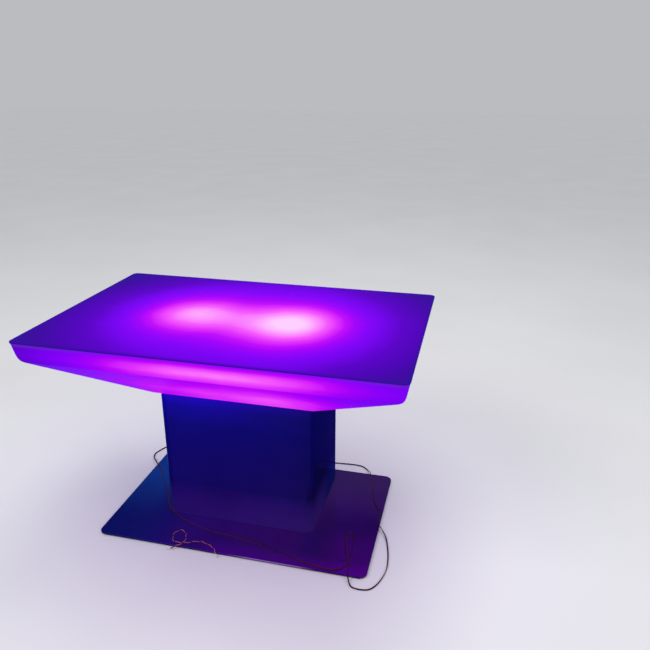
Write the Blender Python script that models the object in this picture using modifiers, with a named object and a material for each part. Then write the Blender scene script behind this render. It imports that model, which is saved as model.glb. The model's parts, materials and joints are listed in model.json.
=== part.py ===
"""A light-up table: an opal panel on a moulded hull with two lamps inside, on a steel column and plate."""

from collections import namedtuple
from math import asin, cos, dist, pi, radians, sin, tan

import bmesh
import bpy
import numpy as np
from mathutils import Matrix

# Whole table, in metres
TABLE_HEIGHT = 0.720
TOP_LENGTH = 1.200
TOP_DEPTH = 0.760
TOP_CORNER = 0.018
GAP = 0.0003
OVERRUN = 0.010
MERGE = 0.00001

# Opal panel
PANEL_THICKNESS = 0.005
PANEL_EASE = 0.001
PANEL_REVEAL = 0.002
LOCATOR_LENGTH = 0.060
LOCATOR_WIDTH = 0.008
LOCATOR_DEPTH = 0.012
LOCATOR_PLAY = 0.0015
LOCATOR_FROM_CORNER = 0.120

# Moulded hull
HULL_WALL = 0.005
RIM_DEPTH = 0.066
RIM_INSET = 0.013
RIM_FILLET_ABOVE = 0.020
RIM_FILLET_BELOW = 0.0065
KNEE_CORNER = 0.012
RIM_LIP = 0.024
RIM_LIP_BEVEL = 0.0015
COLLAR_DEPTH = 0.2365
COLLAR_OVERHANG = 0.008
COLLAR_CORNER = 0.008
COLLAR_BEVEL = 0.004
SLOPE_INSET_SHARE = 0.5
HULL_WINDOW_LENGTH = 0.180
HULL_WINDOW_DEPTH = 0.120
HULL_WINDOW_CORNER = 0.020
POST_RADIUS = 0.012
POST_ROOT = 0.003
POST_HOLE_DEPTH = 0.016

# Steel column
COLUMN_LENGTH = 0.527
COLUMN_DEPTH = 0.376
COLUMN_CORNER = 0.032
COLUMN_SHEET = 0.002
COLUMN_X = 0.011
COLUMN_Y = 0.041
FLANGE_WIDTH = 0.040
FLANGE_CORNER = 0.020

# Base plate and pads
PLATE_LENGTH = 0.925
PLATE_DEPTH = 0.563
PLATE_THICKNESS = 0.006
PLATE_CORNER = 0.025
PLATE_EASE = 0.001
PLATE_X = 0.025
PLATE_Y = -0.025
PAD_RADIUS = 0.020
PAD_THICKNESS = 0.0027
PAD_EASE = 0.0008
PAD_INSET = 0.045

# Bolts and nuts
BOLT_RADIUS = 0.004
BOLT_HOLE = 0.0045
BOLT_AXIS_X = 0.190
BOLT_FROM_FACE = 0.022
BOLT_FLANGE_RADIUS = 0.0085
BOLT_FLANGE = 0.0015
HEX_ACROSS_FLATS = 0.013
BOLT_HEAD = 0.0055
NUT_HEIGHT = 0.007
BOLT_TAIL = 0.002
FOOT_BOLT_SHORT = 0.0005

# Lamp tray
TRAY_LENGTH = 0.520
TRAY_WIDTH = 0.200
TRAY_SHEET = 0.002
TRAY_RIM = 0.012
TRAY_CORNER = 0.010
TRAY_X = 0.045
TRAY_Y = -0.015
TRAY_RISE = 0.072
TRAY_POST_X = 0.200
TRAY_POST_Y = 0.075
TRAY_HOLE_RADIUS = 0.007
TRAY_HOLE_Y = 0.075
SCREW_RADIUS = 0.002
SCREW_HOLE = 0.0023
SCREW_HEAD_RADIUS = 0.004
SCREW_HEAD = 0.0026
SCREW_LENGTH = 0.012

# Lamps
LAMP_SPACING = 0.300
SINK_RADIUS = 0.046
SINK_CORE_RADIUS = 0.034
SINK_BASE = 0.004
SINK_FIN = 0.0022
SINK_FIN_SPACING = 0.0050
SINK_FINS = 4
BOARD_RADIUS = 0.028
BOARD_THICKNESS = 0.0016
CHIP_SIDE = 0.005
CHIP_HEIGHT = 0.0016
CHIP_SINK = 0.0003
CHIP_RING = 0.015
CHIPS = 6
LENS_RADIUS = 0.040
LENS_WALL = 0.002
LENS_HEIGHT = 0.030
LENS_RIM = 0.003

# Controller
CONTROLLER_LENGTH = 0.100
CONTROLLER_WIDTH = 0.056
CONTROLLER_HEIGHT = 0.022
CONTROLLER_BEVEL = 0.002
CONTROLLER_Y = -0.018
LID_THICKNESS = 0.003
LID_SCREW_INSET = 0.007
TERMINAL_LENGTH = 0.030
TERMINAL_WIDTH = 0.014
TERMINAL_HEIGHT = 0.024
TERMINAL_LEAD_HEIGHT = 0.0167
TERMINAL_HOLES = 3
TERMINAL_HOLE_RADIUS = 0.0022
TERMINAL_HOLE_DEPTH = 0.004
TERMINAL_PITCH = 0.009
TERMINAL_FROM_CONTROLLER = 0.012
EYE_BLOCK = 0.012
EYE_HEIGHT = 0.009
EYE_RADIUS = 0.004
EYE_FROM_CONTROLLER = 0.012

# Rocker switch on the column's back
SWITCH_X = -0.060
SWITCH_Z = 0.056
BEZEL_LENGTH = 0.030
BEZEL_WIDTH = 0.022
BEZEL_THICKNESS = 0.002
BEZEL_BEVEL = 0.0008
SWITCH_BODY_LENGTH = 0.0266
SWITCH_BODY_WIDTH = 0.0186
SWITCH_BODY_DEPTH = 0.020
SWITCH_CLEARANCE = 0.0003
ROCKER_LENGTH = 0.0210
ROCKER_WIDTH = 0.0130
ROCKER_END_CLEARANCE = 0.0014
ROCKER_SIDE_CLEARANCE = 0.0004
ROCKER_CREST = 0.0025
ROCKER_SKIRT = 0.001
ROCKER_HEEL = 0.004
ROCKER_HEEL_LENGTH = 0.012
ROCKER_TILT = 10.0
PIVOT_DEPTH = 0.003
PIVOT_RADIUS = 0.0015
PIVOT_REACH = 0.0016
PIVOT_CLEARANCE = 0.0003
POCKET_DEPTH = 0.009
TAB_WIDTH = 0.0048
TAB_THICKNESS = 0.0008
TAB_LENGTH = 0.008
TAB_SPACING = 0.014

# Grommet and leads
LEAD_DIAMETER = 0.0045
LEAD_BORE_CLEARANCE = 0.0003
GROMMET_X = -0.120
GROMMET_Z = 0.030
GROMMET_HOLE = 0.007
GROMMET_FLANGE = 0.010
GROMMET_LIP = 0.0025
CLIP_WIDTH = 0.014
CLIP_HEIGHT = 0.010
CLIP_DEPTH = 0.008
CLIP_LOWER_Z = 0.190
CLIP_BELOW_HEAD = 0.1427
RISER_X = -0.050
RISER_FROM_BACK = 0.0065
RISER_CLIP_STRAIGHT = 0.017
RISER_CLIP_APPROACH = 0.037
LAMP_WIRE_DIAMETER = 0.004
LAMP_WIRE_HEIGHT = 0.006
LAMP_WIRE_BOW = 0.012
LAMP_WIRE_POINTS = 9
OFFCUT_DIAMETER = 0.0044
RUN_TOLERANCE = 0.0018
OFFCUT_TOLERANCE = 0.0008
HELD_TOLERANCE = 0.0004

# Coil of the lead and its tie
COIL_X = 0.105
COIL_FROM_COLUMN = 0.066
COIL_MIDDLE_RADIUS = 0.0250
COIL_TURNS = 4
COIL_PITCH = 0.0051
COIL_LAYER = 0.0051
COIL_LOOP_POINTS = 24
COIL_LIFT = 0.0014
TIE_WIDTH = 0.010
TIE_THICKNESS = 0.0008
TIE_CORNER = 0.003
TIE_ANGLE = 60.0

# Plug-in power supply
ADAPTER_LENGTH = 0.072
ADAPTER_WIDTH = 0.032
ADAPTER_HEIGHT = 0.046
ADAPTER_BEVEL = 0.004
ADAPTER_FROM_COIL = 0.128
ADAPTER_LEAD_Z = 0.0140
PIN_RADIUS = 0.002
PIN_LENGTH = 0.019
PIN_SPACING = 0.019
PIN_ROOT = 0.006
SLEEVE_LENGTH = 0.024
SLEEVE_BIG = 0.0052
SLEEVE_SMALL = 0.0036
SLEEVE_ENTRY = 0.008
SLEEVE_RIB = 0.0005
SLEEVE_RIBS = 4
TAIL_STEPS = 6

# Mesh fineness
CORNER_STEPS = 6
FILLET_STEPS = 3
EASE_STEPS = 2
DOME_STEPS = 6
LEG_STEPS = 24
ROUND_STEPS = 20
SMALL_STEPS = 10

# Heights and faces that several pieces share
PLATE_BOTTOM = PAD_THICKNESS + GAP
PLATE_TOP = PLATE_BOTTOM + PLATE_THICKNESS
COLUMN_FOOT = PLATE_TOP + GAP
COLLAR_Z = TABLE_HEIGHT - COLLAR_DEPTH
COLUMN_HEAD = COLLAR_Z - GAP
RIM_TOP = TABLE_HEIGHT - PANEL_THICKNESS - GAP
HULL_FLOOR = COLLAR_Z + HULL_WALL
TRAY_HEIGHT = HULL_FLOOR + TRAY_RISE
TRAY_TOP = TRAY_HEIGHT + TRAY_SHEET
POST_TOP = TRAY_HEIGHT - GAP
COLUMN_BACK = COLUMN_Y + COLUMN_DEPTH / 2
COLUMN_FRONT = COLUMN_Y - COLUMN_DEPTH / 2
COLUMN_LEFT = COLUMN_X - COLUMN_LENGTH / 2
BOLT_AXIS_Y = COLUMN_DEPTH / 2 - BOLT_FROM_FACE
SWITCH_BACK = COLUMN_BACK - SWITCH_BODY_DEPTH
RISER_Y = COLUMN_BACK - RISER_FROM_BACK
CLIP_UPPER_Z = COLUMN_HEAD - CLIP_BELOW_HEAD
TAB_TIP = SWITCH_BACK - TAB_LENGTH
TERMINAL_LEAD_Z = TRAY_TOP + GAP + TERMINAL_LEAD_HEIGHT
TERMINAL_BACK = TRAY_Y + CONTROLLER_Y + CONTROLLER_WIDTH / 2 + TERMINAL_FROM_CONTROLLER + TERMINAL_WIDTH
LEAD_RADIUS = LEAD_DIAMETER / 2
LEAD_BORE = LEAD_RADIUS + LEAD_BORE_CLEARANCE
COIL_FRONT_Y = COLUMN_BACK + COIL_FROM_COLUMN
COIL_OUTER_RADIUS = COIL_MIDDLE_RADIUS + COIL_PITCH * COIL_TURNS / 2
COIL_Y = COIL_FRONT_Y + COIL_OUTER_RADIUS
COIL_Z = COIL_LIFT + LEAD_RADIUS
SINK_HEIGHT = SINK_BASE + SINK_FINS * SINK_FIN_SPACING
ADAPTER_X = COIL_X - ADAPTER_FROM_COIL

# The supply lead's free run, in five stretches. Out of the grommet, from the column's back
LEAD_LEAVES = [
    (-0.1200, 0.0160, 0.0297), (-0.1203, 0.0300, 0.0260), (-0.1327, 0.0617, 0.0064),
]
# Round the plate's left back corner and onto the plate
LEAD_LEFT = [
    (-0.2139, 0.3200, 0.0031), (-0.4326, 0.2969, 0.0028), (-0.4869, 0.2062, 0.0028),
    (-0.4815, 0.1768, 0.0044), (-0.4458, 0.1291, 0.0144), (-0.4028, 0.0837, 0.0123),
]
# Round the column's front left corner, from that corner
LEAD_CORNER = [
    (-0.0449, 0.0786, 0.0130), (0.0058, 0.0071, 0.0162), (0.0892, -0.0420, 0.0160),
]
# Across the plate's front, its loop, off the plate and back over its right side
LEAD_FRONT = [
    (-0.0569, -0.2189, 0.0174), (0.0179, -0.2258, 0.0185), (0.1199, -0.2419, 0.0160),
    (0.2002, -0.2625, 0.0125), (0.3734, -0.2993, 0.0118), (0.4135, -0.2697, 0.0118),
    (0.3892, -0.1439, 0.0120), (0.3969, -0.1068, 0.0120), (0.4069, -0.1087, 0.0120),
    (0.4265, -0.2753, 0.0122), (0.4298, -0.3023, 0.0133), (0.4336, -0.3185, 0.0106),
    (0.4409, -0.3339, 0.0050), (0.4511, -0.3460, 0.0029), (0.5048, -0.3426, 0.0027),
    (0.5416, -0.2539, 0.0028), (0.5195, -0.1005, 0.0042), (0.5011, -0.0687, 0.0100),
    (0.4859, -0.0454, 0.0124), (0.4748, 0.0247, 0.0118), (0.4485, 0.0799, 0.0118),
    (0.4175, 0.1952, 0.0118), (0.4009, 0.2597, 0.0126), (0.3940, 0.2749, 0.0074),
    (0.3820, 0.2938, 0.0031), (0.3551, 0.3122, 0.0026),
]
# Behind the column to the coil, from the column's back
LEAD_RETURNS = [
    (0.2650, 0.0825, 0.0027), (0.1300, 0.0660, 0.0036),
]

# Twisted offcut of wire that lies on the front edge of the plate, tip to tip
OFFCUT_ROUTE = [
    (-0.1760, -0.3230, 0.0030), (-0.1660, -0.3210, 0.0045), (-0.1560, -0.3170, 0.0085),
    (-0.1460, -0.3105, 0.0120), (-0.1370, -0.3020, 0.0122), (-0.1310, -0.2900, 0.0118),
    (-0.1300, -0.2760, 0.0118), (-0.1340, -0.2610, 0.0118), (-0.1430, -0.2460, 0.0118),
    (-0.1560, -0.2350, 0.0118), (-0.1690, -0.2350, 0.0118), (-0.1775, -0.2450, 0.0118),
    (-0.1795, -0.2590, 0.0118), (-0.1760, -0.2740, 0.0118), (-0.1690, -0.2870, 0.0124),
    (-0.1570, -0.2960, 0.0146), (-0.1430, -0.2985, 0.0168), (-0.1290, -0.2965, 0.0166),
    (-0.1160, -0.2900, 0.0140), (-0.1040, -0.2815, 0.0120), (-0.0900, -0.2755, 0.0118),
    (-0.0740, -0.2730, 0.0118), (-0.0580, -0.2765, 0.0118), (-0.0420, -0.2815, 0.0118),
    (-0.0280, -0.2890, 0.0118), (-0.0170, -0.2990, 0.0126), (-0.0090, -0.3090, 0.0118),
    (-0.0030, -0.3160, 0.0062), (0.0030, -0.3220, 0.0030),
]

# From the grommet to the switch inside the column, from the column's back
SWITCH_LEAD_ROUTE = [
    (-0.1200, -0.0070, 0.0300), (-0.1200, -0.0210, 0.0300), (-0.1190, -0.0410, 0.0310),
    (-0.1120, -0.0610, 0.0340), (-0.0960, -0.0730, 0.0380), (-0.0780, -0.0730, 0.0430),
    (-0.0650, -0.0610, 0.0475), (-0.0600, -0.0450, 0.0490),
]
# From the switch to the lower clip, from the column's back
RISER_LEAVES = [
    (-0.0600, -0.0440, 0.0640), (-0.0590, -0.0550, 0.0720), (-0.0570, -0.0530, 0.0900),
    (-0.0540, -0.0310, 0.1130), (-0.0510, -0.0110, 0.1330),
]
# From the upper clip to the tray's cable hole: shares of the way along X and Y, as chosen by hand
RISER_SWEEP_SHARES = [
    (0.021, 0.046), (0.074, 0.139), (0.179, 0.298), (0.358, 0.508), (0.589, 0.717),
    (0.821, 0.871), (0.958, 0.963), (1.0, 1.0),
]
# Heights of those points over the collar
RISER_SWEEP_HEIGHTS = [-0.0800, -0.0560, -0.0340, -0.0210, -0.0140, -0.0040, 0.0140, 0.0370]
# Up through the tray's cable hole and down to the terminals, from the terminals
RISER_END = [
    (0.0, 0.0390, -0.0190), (0.0, 0.0380, -0.0090), (0.0, 0.0335, -0.0025), (0.0, 0.0260, 0.0),
    (0.0, 0.0140, 0.0),
]

Ring = namedtuple("Ring", "half_x half_y radius z x y")


def clear_scene():
    """Starts from an empty scene with one collection for the table and one for its cutters."""
    for obj in list(bpy.data.objects):
        bpy.data.objects.remove(obj, do_unlink=True)
    for collection in list(bpy.data.collections):
        bpy.data.collections.remove(collection)
    parts = bpy.data.collections.new("light_up_table")
    cutters = bpy.data.collections.new("cutters")
    for collection in (parts, cutters):
        bpy.context.scene.collection.children.link(collection)
    return parts, cutters


PARTS, CUTTERS = clear_scene()


def finish(name, colour, roughness, metallic=0.0):
    """A plain material: base colour, roughness and metallic value."""
    material = bpy.data.materials.new(name)
    material.use_nodes = True
    shader = material.node_tree.nodes["Principled BSDF"]
    shader.inputs["Base Color"].default_value = (*colour, 1.0)
    shader.inputs["Roughness"].default_value = roughness
    shader.inputs["Metallic"].default_value = metallic
    return material


def place(name, mesh, material, location=(0.0, 0.0, 0.0)):
    """One named object of the table."""
    obj = bpy.data.objects.new(name, mesh)
    obj.location = location
    if material and not mesh.materials:
        mesh.materials.append(material)
    PARTS.objects.link(obj)
    return obj


def as_helper(obj):
    """Makes the object a cutter or a joined shape: it shapes others and is no piece itself."""
    for collection in obj.users_collection:
        collection.objects.unlink(obj)
    CUTTERS.objects.link(obj)
    obj.hide_render = True
    obj.display_type = "WIRE"
    return obj


def combine(obj, helper, operation):
    as_helper(helper)
    modifier = obj.modifiers.new(helper.name, "BOOLEAN")
    modifier.operation = operation
    modifier.solver = "EXACT"
    modifier.object = helper
    return obj


def cut(obj, helper):
    return combine(obj, helper, "DIFFERENCE")


def join(obj, helper):
    return combine(obj, helper, "UNION")


def mesh_from(bm, name):
    bmesh.ops.recalc_face_normals(bm, faces=bm.faces)
    mesh = bpy.data.meshes.new(name)
    bm.to_mesh(mesh)
    bm.free()
    return mesh


def evaluated_mesh(obj):
    """The object's mesh with its modifiers applied."""
    bpy.context.view_layer.update()
    graph = bpy.context.evaluated_depsgraph_get()
    return bpy.data.meshes.new_from_object(obj.evaluated_get(graph))


def settled(obj):
    """Applies the object's modifiers to its mesh and removes the helpers, so that copies can share it."""
    helpers = [m.object for m in obj.modifiers if m.type == "BOOLEAN"]
    material = obj.data.materials[0] if obj.data.materials else None
    mesh = evaluated_mesh(obj)
    obj.modifiers.clear()
    obj.data = mesh
    mesh.materials.clear()
    if material:
        mesh.materials.append(material)
    for helper in helpers:
        bpy.data.objects.remove(helper, do_unlink=True)
    return obj


def copy_of(obj, name, location):
    twin = obj.copy()
    twin.name = name
    twin.location = location
    PARTS.objects.link(twin)
    return twin


def smooth(obj, angle=35.0):
    """Round faces shade smooth, and edges sharper than the angle stay crisp."""
    obj.data.shade_smooth()
    obj.data.set_sharp_from_angle(angle=radians(angle))
    return obj


def ring_points(ring):
    """A rounded rectangle, anticlockwise from its right side's upper end."""
    points = []
    for quarter, (side_x, side_y) in enumerate(((1, 1), (-1, 1), (-1, -1), (1, -1))):
        middle_x = ring.x + side_x * (ring.half_x - ring.radius)
        middle_y = ring.y + side_y * (ring.half_y - ring.radius)
        for step in range(CORNER_STEPS + 1):
            angle = (quarter + step / CORNER_STEPS) * pi / 2
            x = middle_x + ring.radius * cos(angle)
            y = middle_y + ring.radius * sin(angle)
            points.append((x, y, ring.z))
    return points


def mix(a, b, share):
    """The ring between two rings at this share of the way."""
    return Ring(*(p + (q - p) * share for p, q in zip(a, b)))


def loft(name, rings, material, through=False):
    """A skin over rounded rectangles: capped at both ends, or closed on itself round a hollow."""
    bm = bmesh.new()
    loops = [[bm.verts.new(point) for point in ring_points(ring)] for ring in rings]
    pairs = list(zip(loops, loops[1:]))
    if through:
        pairs.append((loops[-1], loops[0]))
    else:
        bm.faces.new(loops[0][::-1])
        bm.faces.new(loops[-1])
    for lower, upper in pairs:
        for i, point in enumerate(lower):
            after = (i + 1) % len(lower)
            bm.faces.new((point, lower[after], upper[after], upper[i]))
    return smooth(place(name, mesh_from(bm, name), material))


def box(name, size, centre, material=None, bevel=0.0, segments=2):
    bm = bmesh.new()
    bmesh.ops.create_cube(bm, size=1.0)
    bmesh.ops.scale(bm, vec=size, verts=bm.verts)
    obj = place(name, mesh_from(bm, name), material, centre)
    if bevel:
        modifier = obj.modifiers.new("rounded edges", "BEVEL")
        modifier.width = bevel
        modifier.segments = segments
        smooth(obj)
    return obj


def cylinder(name, radius, height, centre, material=None, axis="Z", steps=ROUND_STEPS):
    """A cylinder whose middle is at the centre, along a named axis."""
    bm = bmesh.new()
    bmesh.ops.create_cone(bm, cap_ends=True, segments=steps, radius1=radius, radius2=radius, depth=height)
    turn = {"X": Matrix.Rotation(pi / 2, 4, "Y"), "Y": Matrix.Rotation(pi / 2, 4, "X")}
    if axis in turn:
        bmesh.ops.transform(bm, matrix=turn[axis], verts=bm.verts)
    return smooth(place(name, mesh_from(bm, name), material, centre))


def turned(name, profile, material, location, steps=ROUND_STEPS, rotation=(0.0, 0.0, 0.0)):
    """A profile of (radius, height) points, running down its outer side, turned about Z."""
    mesh = bpy.data.meshes.new(name)
    edges = [(i, i + 1) for i in range(len(profile) - 1)]
    if profile[0][0] > 0:
        edges.append((len(profile) - 1, 0))
    mesh.from_pydata([(radius, 0.0, height) for radius, height in profile], edges, [])
    obj = place(name, mesh, material, location)
    obj.rotation_euler = rotation
    modifier = obj.modifiers.new("turned", "SCREW")
    modifier.steps = modifier.render_steps = steps
    modifier.use_merge_vertices = True
    modifier.merge_threshold = MERGE
    modifier.use_smooth_shade = True
    return obj


def arc(centre_radius, centre_height, radius, start, end, steps):
    """Profile points along an arc in the (radius, height) plane, from one angle in degrees to another."""
    angles = [radians(start + (end - start) * i / steps) for i in range(steps + 1)]
    return [(centre_radius + radius * cos(a), centre_height + radius * sin(a)) for a in angles]


def curve_through(points):
    """Points along one smooth curve that passes through the route's points."""
    route = np.array(points)
    route = np.vstack([2 * route[0] - route[1], route, 2 * route[-1] - route[-2]])
    found = []
    for p0, p1, p2, p3 in zip(route, route[1:], route[2:], route[3:]):
        legs = ((p0, p1), (p1, p2), (p2, p3))
        t1, t2, t3 = np.cumsum([np.linalg.norm(b - a) ** 0.5 for a, b in legs])
        for t in np.linspace(t1, t2, LEG_STEPS, endpoint=False):
            a1 = p0 + (p1 - p0) * t / t1
            a2 = p1 + (p2 - p1) * (t - t1) / (t2 - t1)
            a3 = p2 + (p3 - p2) * (t - t2) / (t3 - t2)
            b1 = a1 + (a2 - a1) * t / t2
            b2 = a2 + (a3 - a2) * (t - t1) / (t3 - t1)
            found.append(b1 + (b2 - b1) * (t - t1) / (t2 - t1))
    return np.vstack(found + [route[-2]])


def thinned(points, tolerance):
    """Fewer points of the same curve, which strays from their lines by no more than the tolerance."""
    line = points[-1] - points[0]
    along = np.clip((points - points[0]) @ line / (line @ line), 0.0, 1.0)
    strays = np.linalg.norm(points - points[0] - along[:, None] * line, axis=1)
    worst = int(strays.argmax())
    if strays[worst] <= tolerance:
        return [points[0], points[-1]]
    return thinned(points[:worst + 1], tolerance)[:-1] + thinned(points[worst:], tolerance)


def moved(route, x=0.0, y=0.0, z=0.0):
    """A route's points, given from a place, put where that place is."""
    return [(x + point[0], y + point[1], z + point[2]) for point in route]


def length_of(points):
    return sum(dist(a, b) for a, b in zip(points, points[1:]))


def tube(name, points, diameter, material, resolution=2):
    """A round cord along the points, with its ends closed."""
    curve = bpy.data.curves.new(name, "CURVE")
    curve.dimensions = "3D"
    curve.bevel_depth = diameter / 2
    curve.bevel_resolution = resolution
    curve.use_fill_caps = True
    spline = curve.splines.new("POLY")
    spline.points.add(len(points) - 1)
    for point, place_at in zip(spline.points, points):
        point.co = (*place_at, 1.0)
    curve.materials.append(material)
    obj = bpy.data.objects.new(name, curve)
    PARTS.objects.link(obj)
    return obj


def routed(name, route, diameter, material, tolerance=HELD_TOLERANCE):
    """A cord along a smooth curve through its route, straight in its first and last legs."""
    fine = curve_through(route)
    print(f"{name}: {length_of(fine):.3f} m long")
    bent = thinned(fine[LEG_STEPS:-LEG_STEPS], tolerance)
    return tube(name, [fine[0], *bent, fine[-1]], diameter, material)


opal_panel = finish("opal panel", (0.20, 0.01, 0.72), 0.38)
opal_hull = finish("opal hull", (0.52, 0.04, 0.95), 0.42)
steel = finish("satin stainless steel", (0.34, 0.34, 0.46), 0.28, 1.0)
plate_steel = finish("polished stainless steel", (0.40, 0.38, 0.52), 0.16, 1.0)
zinc = finish("zinc-plated steel", (0.62, 0.62, 0.60), 0.35, 1.0)
aluminium = finish("aluminium", (0.70, 0.71, 0.73), 0.40, 1.0)
rubber = finish("black rubber", (0.02, 0.02, 0.022), 0.75)
black_plastic = finish("black plastic", (0.025, 0.025, 0.03), 0.45)
red_plastic = finish("red plastic", (0.45, 0.02, 0.02), 0.35)
white_plastic = finish("white plastic", (0.85, 0.85, 0.86), 0.45)
lens_plastic = finish("lens plastic", (0.93, 0.80, 0.96), 0.25)
green_plastic = finish("terminal plastic", (0.05, 0.38, 0.18), 0.45)
lead_sheath = finish("dark red lead", (0.20, 0.012, 0.03), 0.45)
offcut_sheath = finish("red twisted wire", (0.70, 0.16, 0.22), 0.42)
tinned = finish("tinned copper", (0.75, 0.74, 0.72), 0.32, 1.0)
nickel = finish("nickel plate", (0.70, 0.68, 0.64), 0.25, 1.0)


def make_panel():
    """The flat lit top, with eased edges and locating blocks that drop inside the hull's lip."""
    half_x, half_y = TOP_LENGTH / 2, TOP_DEPTH / 2
    bottom = TABLE_HEIGHT - PANEL_THICKNESS
    rings = []
    for step in range(EASE_STEPS + 1):
        angle = step / EASE_STEPS * pi / 2
        inset = PANEL_EASE * (1 - sin(angle))
        rings.append(Ring(half_x - inset, half_y - inset, TOP_CORNER - inset,
                          bottom + PANEL_EASE * (1 - cos(angle)), 0.0, 0.0))
    for ring in rings[::-1]:
        rings.append(ring._replace(z=TABLE_HEIGHT - (ring.z - bottom)))
    panel = loft("top_panel", rings, opal_panel)
    reach_x = half_x - PANEL_REVEAL - RIM_LIP - LOCATOR_PLAY - LOCATOR_WIDTH / 2
    reach_y = half_y - PANEL_REVEAL - RIM_LIP - LOCATOR_PLAY - LOCATOR_WIDTH / 2
    along_x, along_y = half_x - LOCATOR_FROM_CORNER, half_y - LOCATOR_FROM_CORNER
    root = PANEL_THICKNESS / 2
    height = LOCATOR_DEPTH + root
    middle_z = bottom + root - height / 2
    for side in (-1, 1):
        for end in (-1, 1):
            along = (end * along_x, side * reach_y, middle_z)
            across = (side * reach_x, end * along_y, middle_z)
            join(panel, box("locator", (LOCATOR_LENGTH, LOCATOR_WIDTH, height), along))
            join(panel, box("locator", (LOCATOR_WIDTH, LOCATOR_LENGTH, height), across))
    return smooth(settled(panel))


def hull_rings():
    """The hull's section: down its outside to the collar, in at the window, and up inside to the lip."""
    half_x, half_y = TOP_LENGTH / 2, TOP_DEPTH / 2
    rim = Ring(half_x - PANEL_REVEAL, half_y - PANEL_REVEAL, TOP_CORNER - PANEL_REVEAL, RIM_TOP, 0.0, 0.0)
    knee = Ring(half_x - RIM_INSET, half_y - RIM_INSET, KNEE_CORNER, TABLE_HEIGHT - RIM_DEPTH, 0.0, 0.0)
    collar = Ring(COLUMN_LENGTH / 2 + COLLAR_OVERHANG, COLUMN_DEPTH / 2 + COLLAR_OVERHANG,
                  COLLAR_CORNER, COLLAR_Z, COLUMN_X, COLUMN_Y)
    window = Ring(HULL_WINDOW_LENGTH / 2, HULL_WINDOW_DEPTH / 2, HULL_WINDOW_CORNER,
                  COLLAR_Z, COLUMN_X, COLUMN_Y)

    def rounded_knee(top, corner, low):
        above = mix(corner, top, RIM_FILLET_ABOVE / (top.z - corner.z))
        below = mix(corner, low, RIM_FILLET_BELOW / (corner.z - low.z))
        shares = [step / FILLET_STEPS for step in range(FILLET_STEPS + 1)]
        return [mix(mix(above, corner, s), mix(corner, below, s), s) for s in shares]

    def inset(ring, by, up):
        return ring._replace(half_x=ring.half_x - by, half_y=ring.half_y - by,
                             radius=max(ring.radius - by, HULL_WALL), z=ring.z + up)

    edge = mix(collar, knee, COLLAR_BEVEL / (knee.z - collar.z))
    outside = [rim] + rounded_knee(rim, knee, collar) + [edge, inset(collar, COLLAR_BEVEL, 0.0)]
    lip_under = inset(rim, HULL_WALL, -HULL_WALL)
    inner_knee = inset(knee, HULL_WALL, HULL_WALL)
    inner_collar = inset(collar, HULL_WALL * SLOPE_INSET_SHARE, HULL_WALL)
    inside = rounded_knee(lip_under, inner_knee, inner_collar)[::-1]
    lip = [lip_under, inset(rim, RIM_LIP, -HULL_WALL), inset(rim, RIM_LIP, -RIM_LIP_BEVEL),
           inset(rim, RIM_LIP - RIM_LIP_BEVEL, 0.0)]
    return outside + [window, window._replace(z=HULL_FLOOR), inner_collar] + inside + lip


def column_bolt_places():
    return [(COLUMN_X + i * BOLT_AXIS_X, COLUMN_Y + j * BOLT_AXIS_Y) for j in (-1, 1) for i in (-1, 1)]


def tray_screw_places():
    return [(TRAY_X + i * TRAY_POST_X, TRAY_Y + j * TRAY_POST_Y) for j in (-1, 1) for i in (-1, 1)]


def make_hull():
    """The moulded hull: one skin with a lip for the panel, a cable window and posts for the lamp tray."""
    hull = loft("hull", hull_rings(), opal_hull, through=True)
    foot = HULL_FLOOR - POST_ROOT
    for x, y in tray_screw_places():
        join(hull, cylinder("post", POST_RADIUS, POST_TOP - foot, (x, y, (POST_TOP + foot) / 2)))
        hole = (x, y, POST_TOP + (OVERRUN - POST_HOLE_DEPTH) / 2)
        cut(hull, cylinder("post hole", SCREW_HOLE, POST_HOLE_DEPTH + OVERRUN, hole, steps=SMALL_STEPS))
    for x, y in column_bolt_places():
        hole = (x, y, COLLAR_Z + HULL_WALL / 2)
        cut(hull, cylinder("bolt hole", BOLT_HOLE, HULL_WALL + OVERRUN, hole, steps=SMALL_STEPS))
    return smooth(settled(hull))


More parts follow.
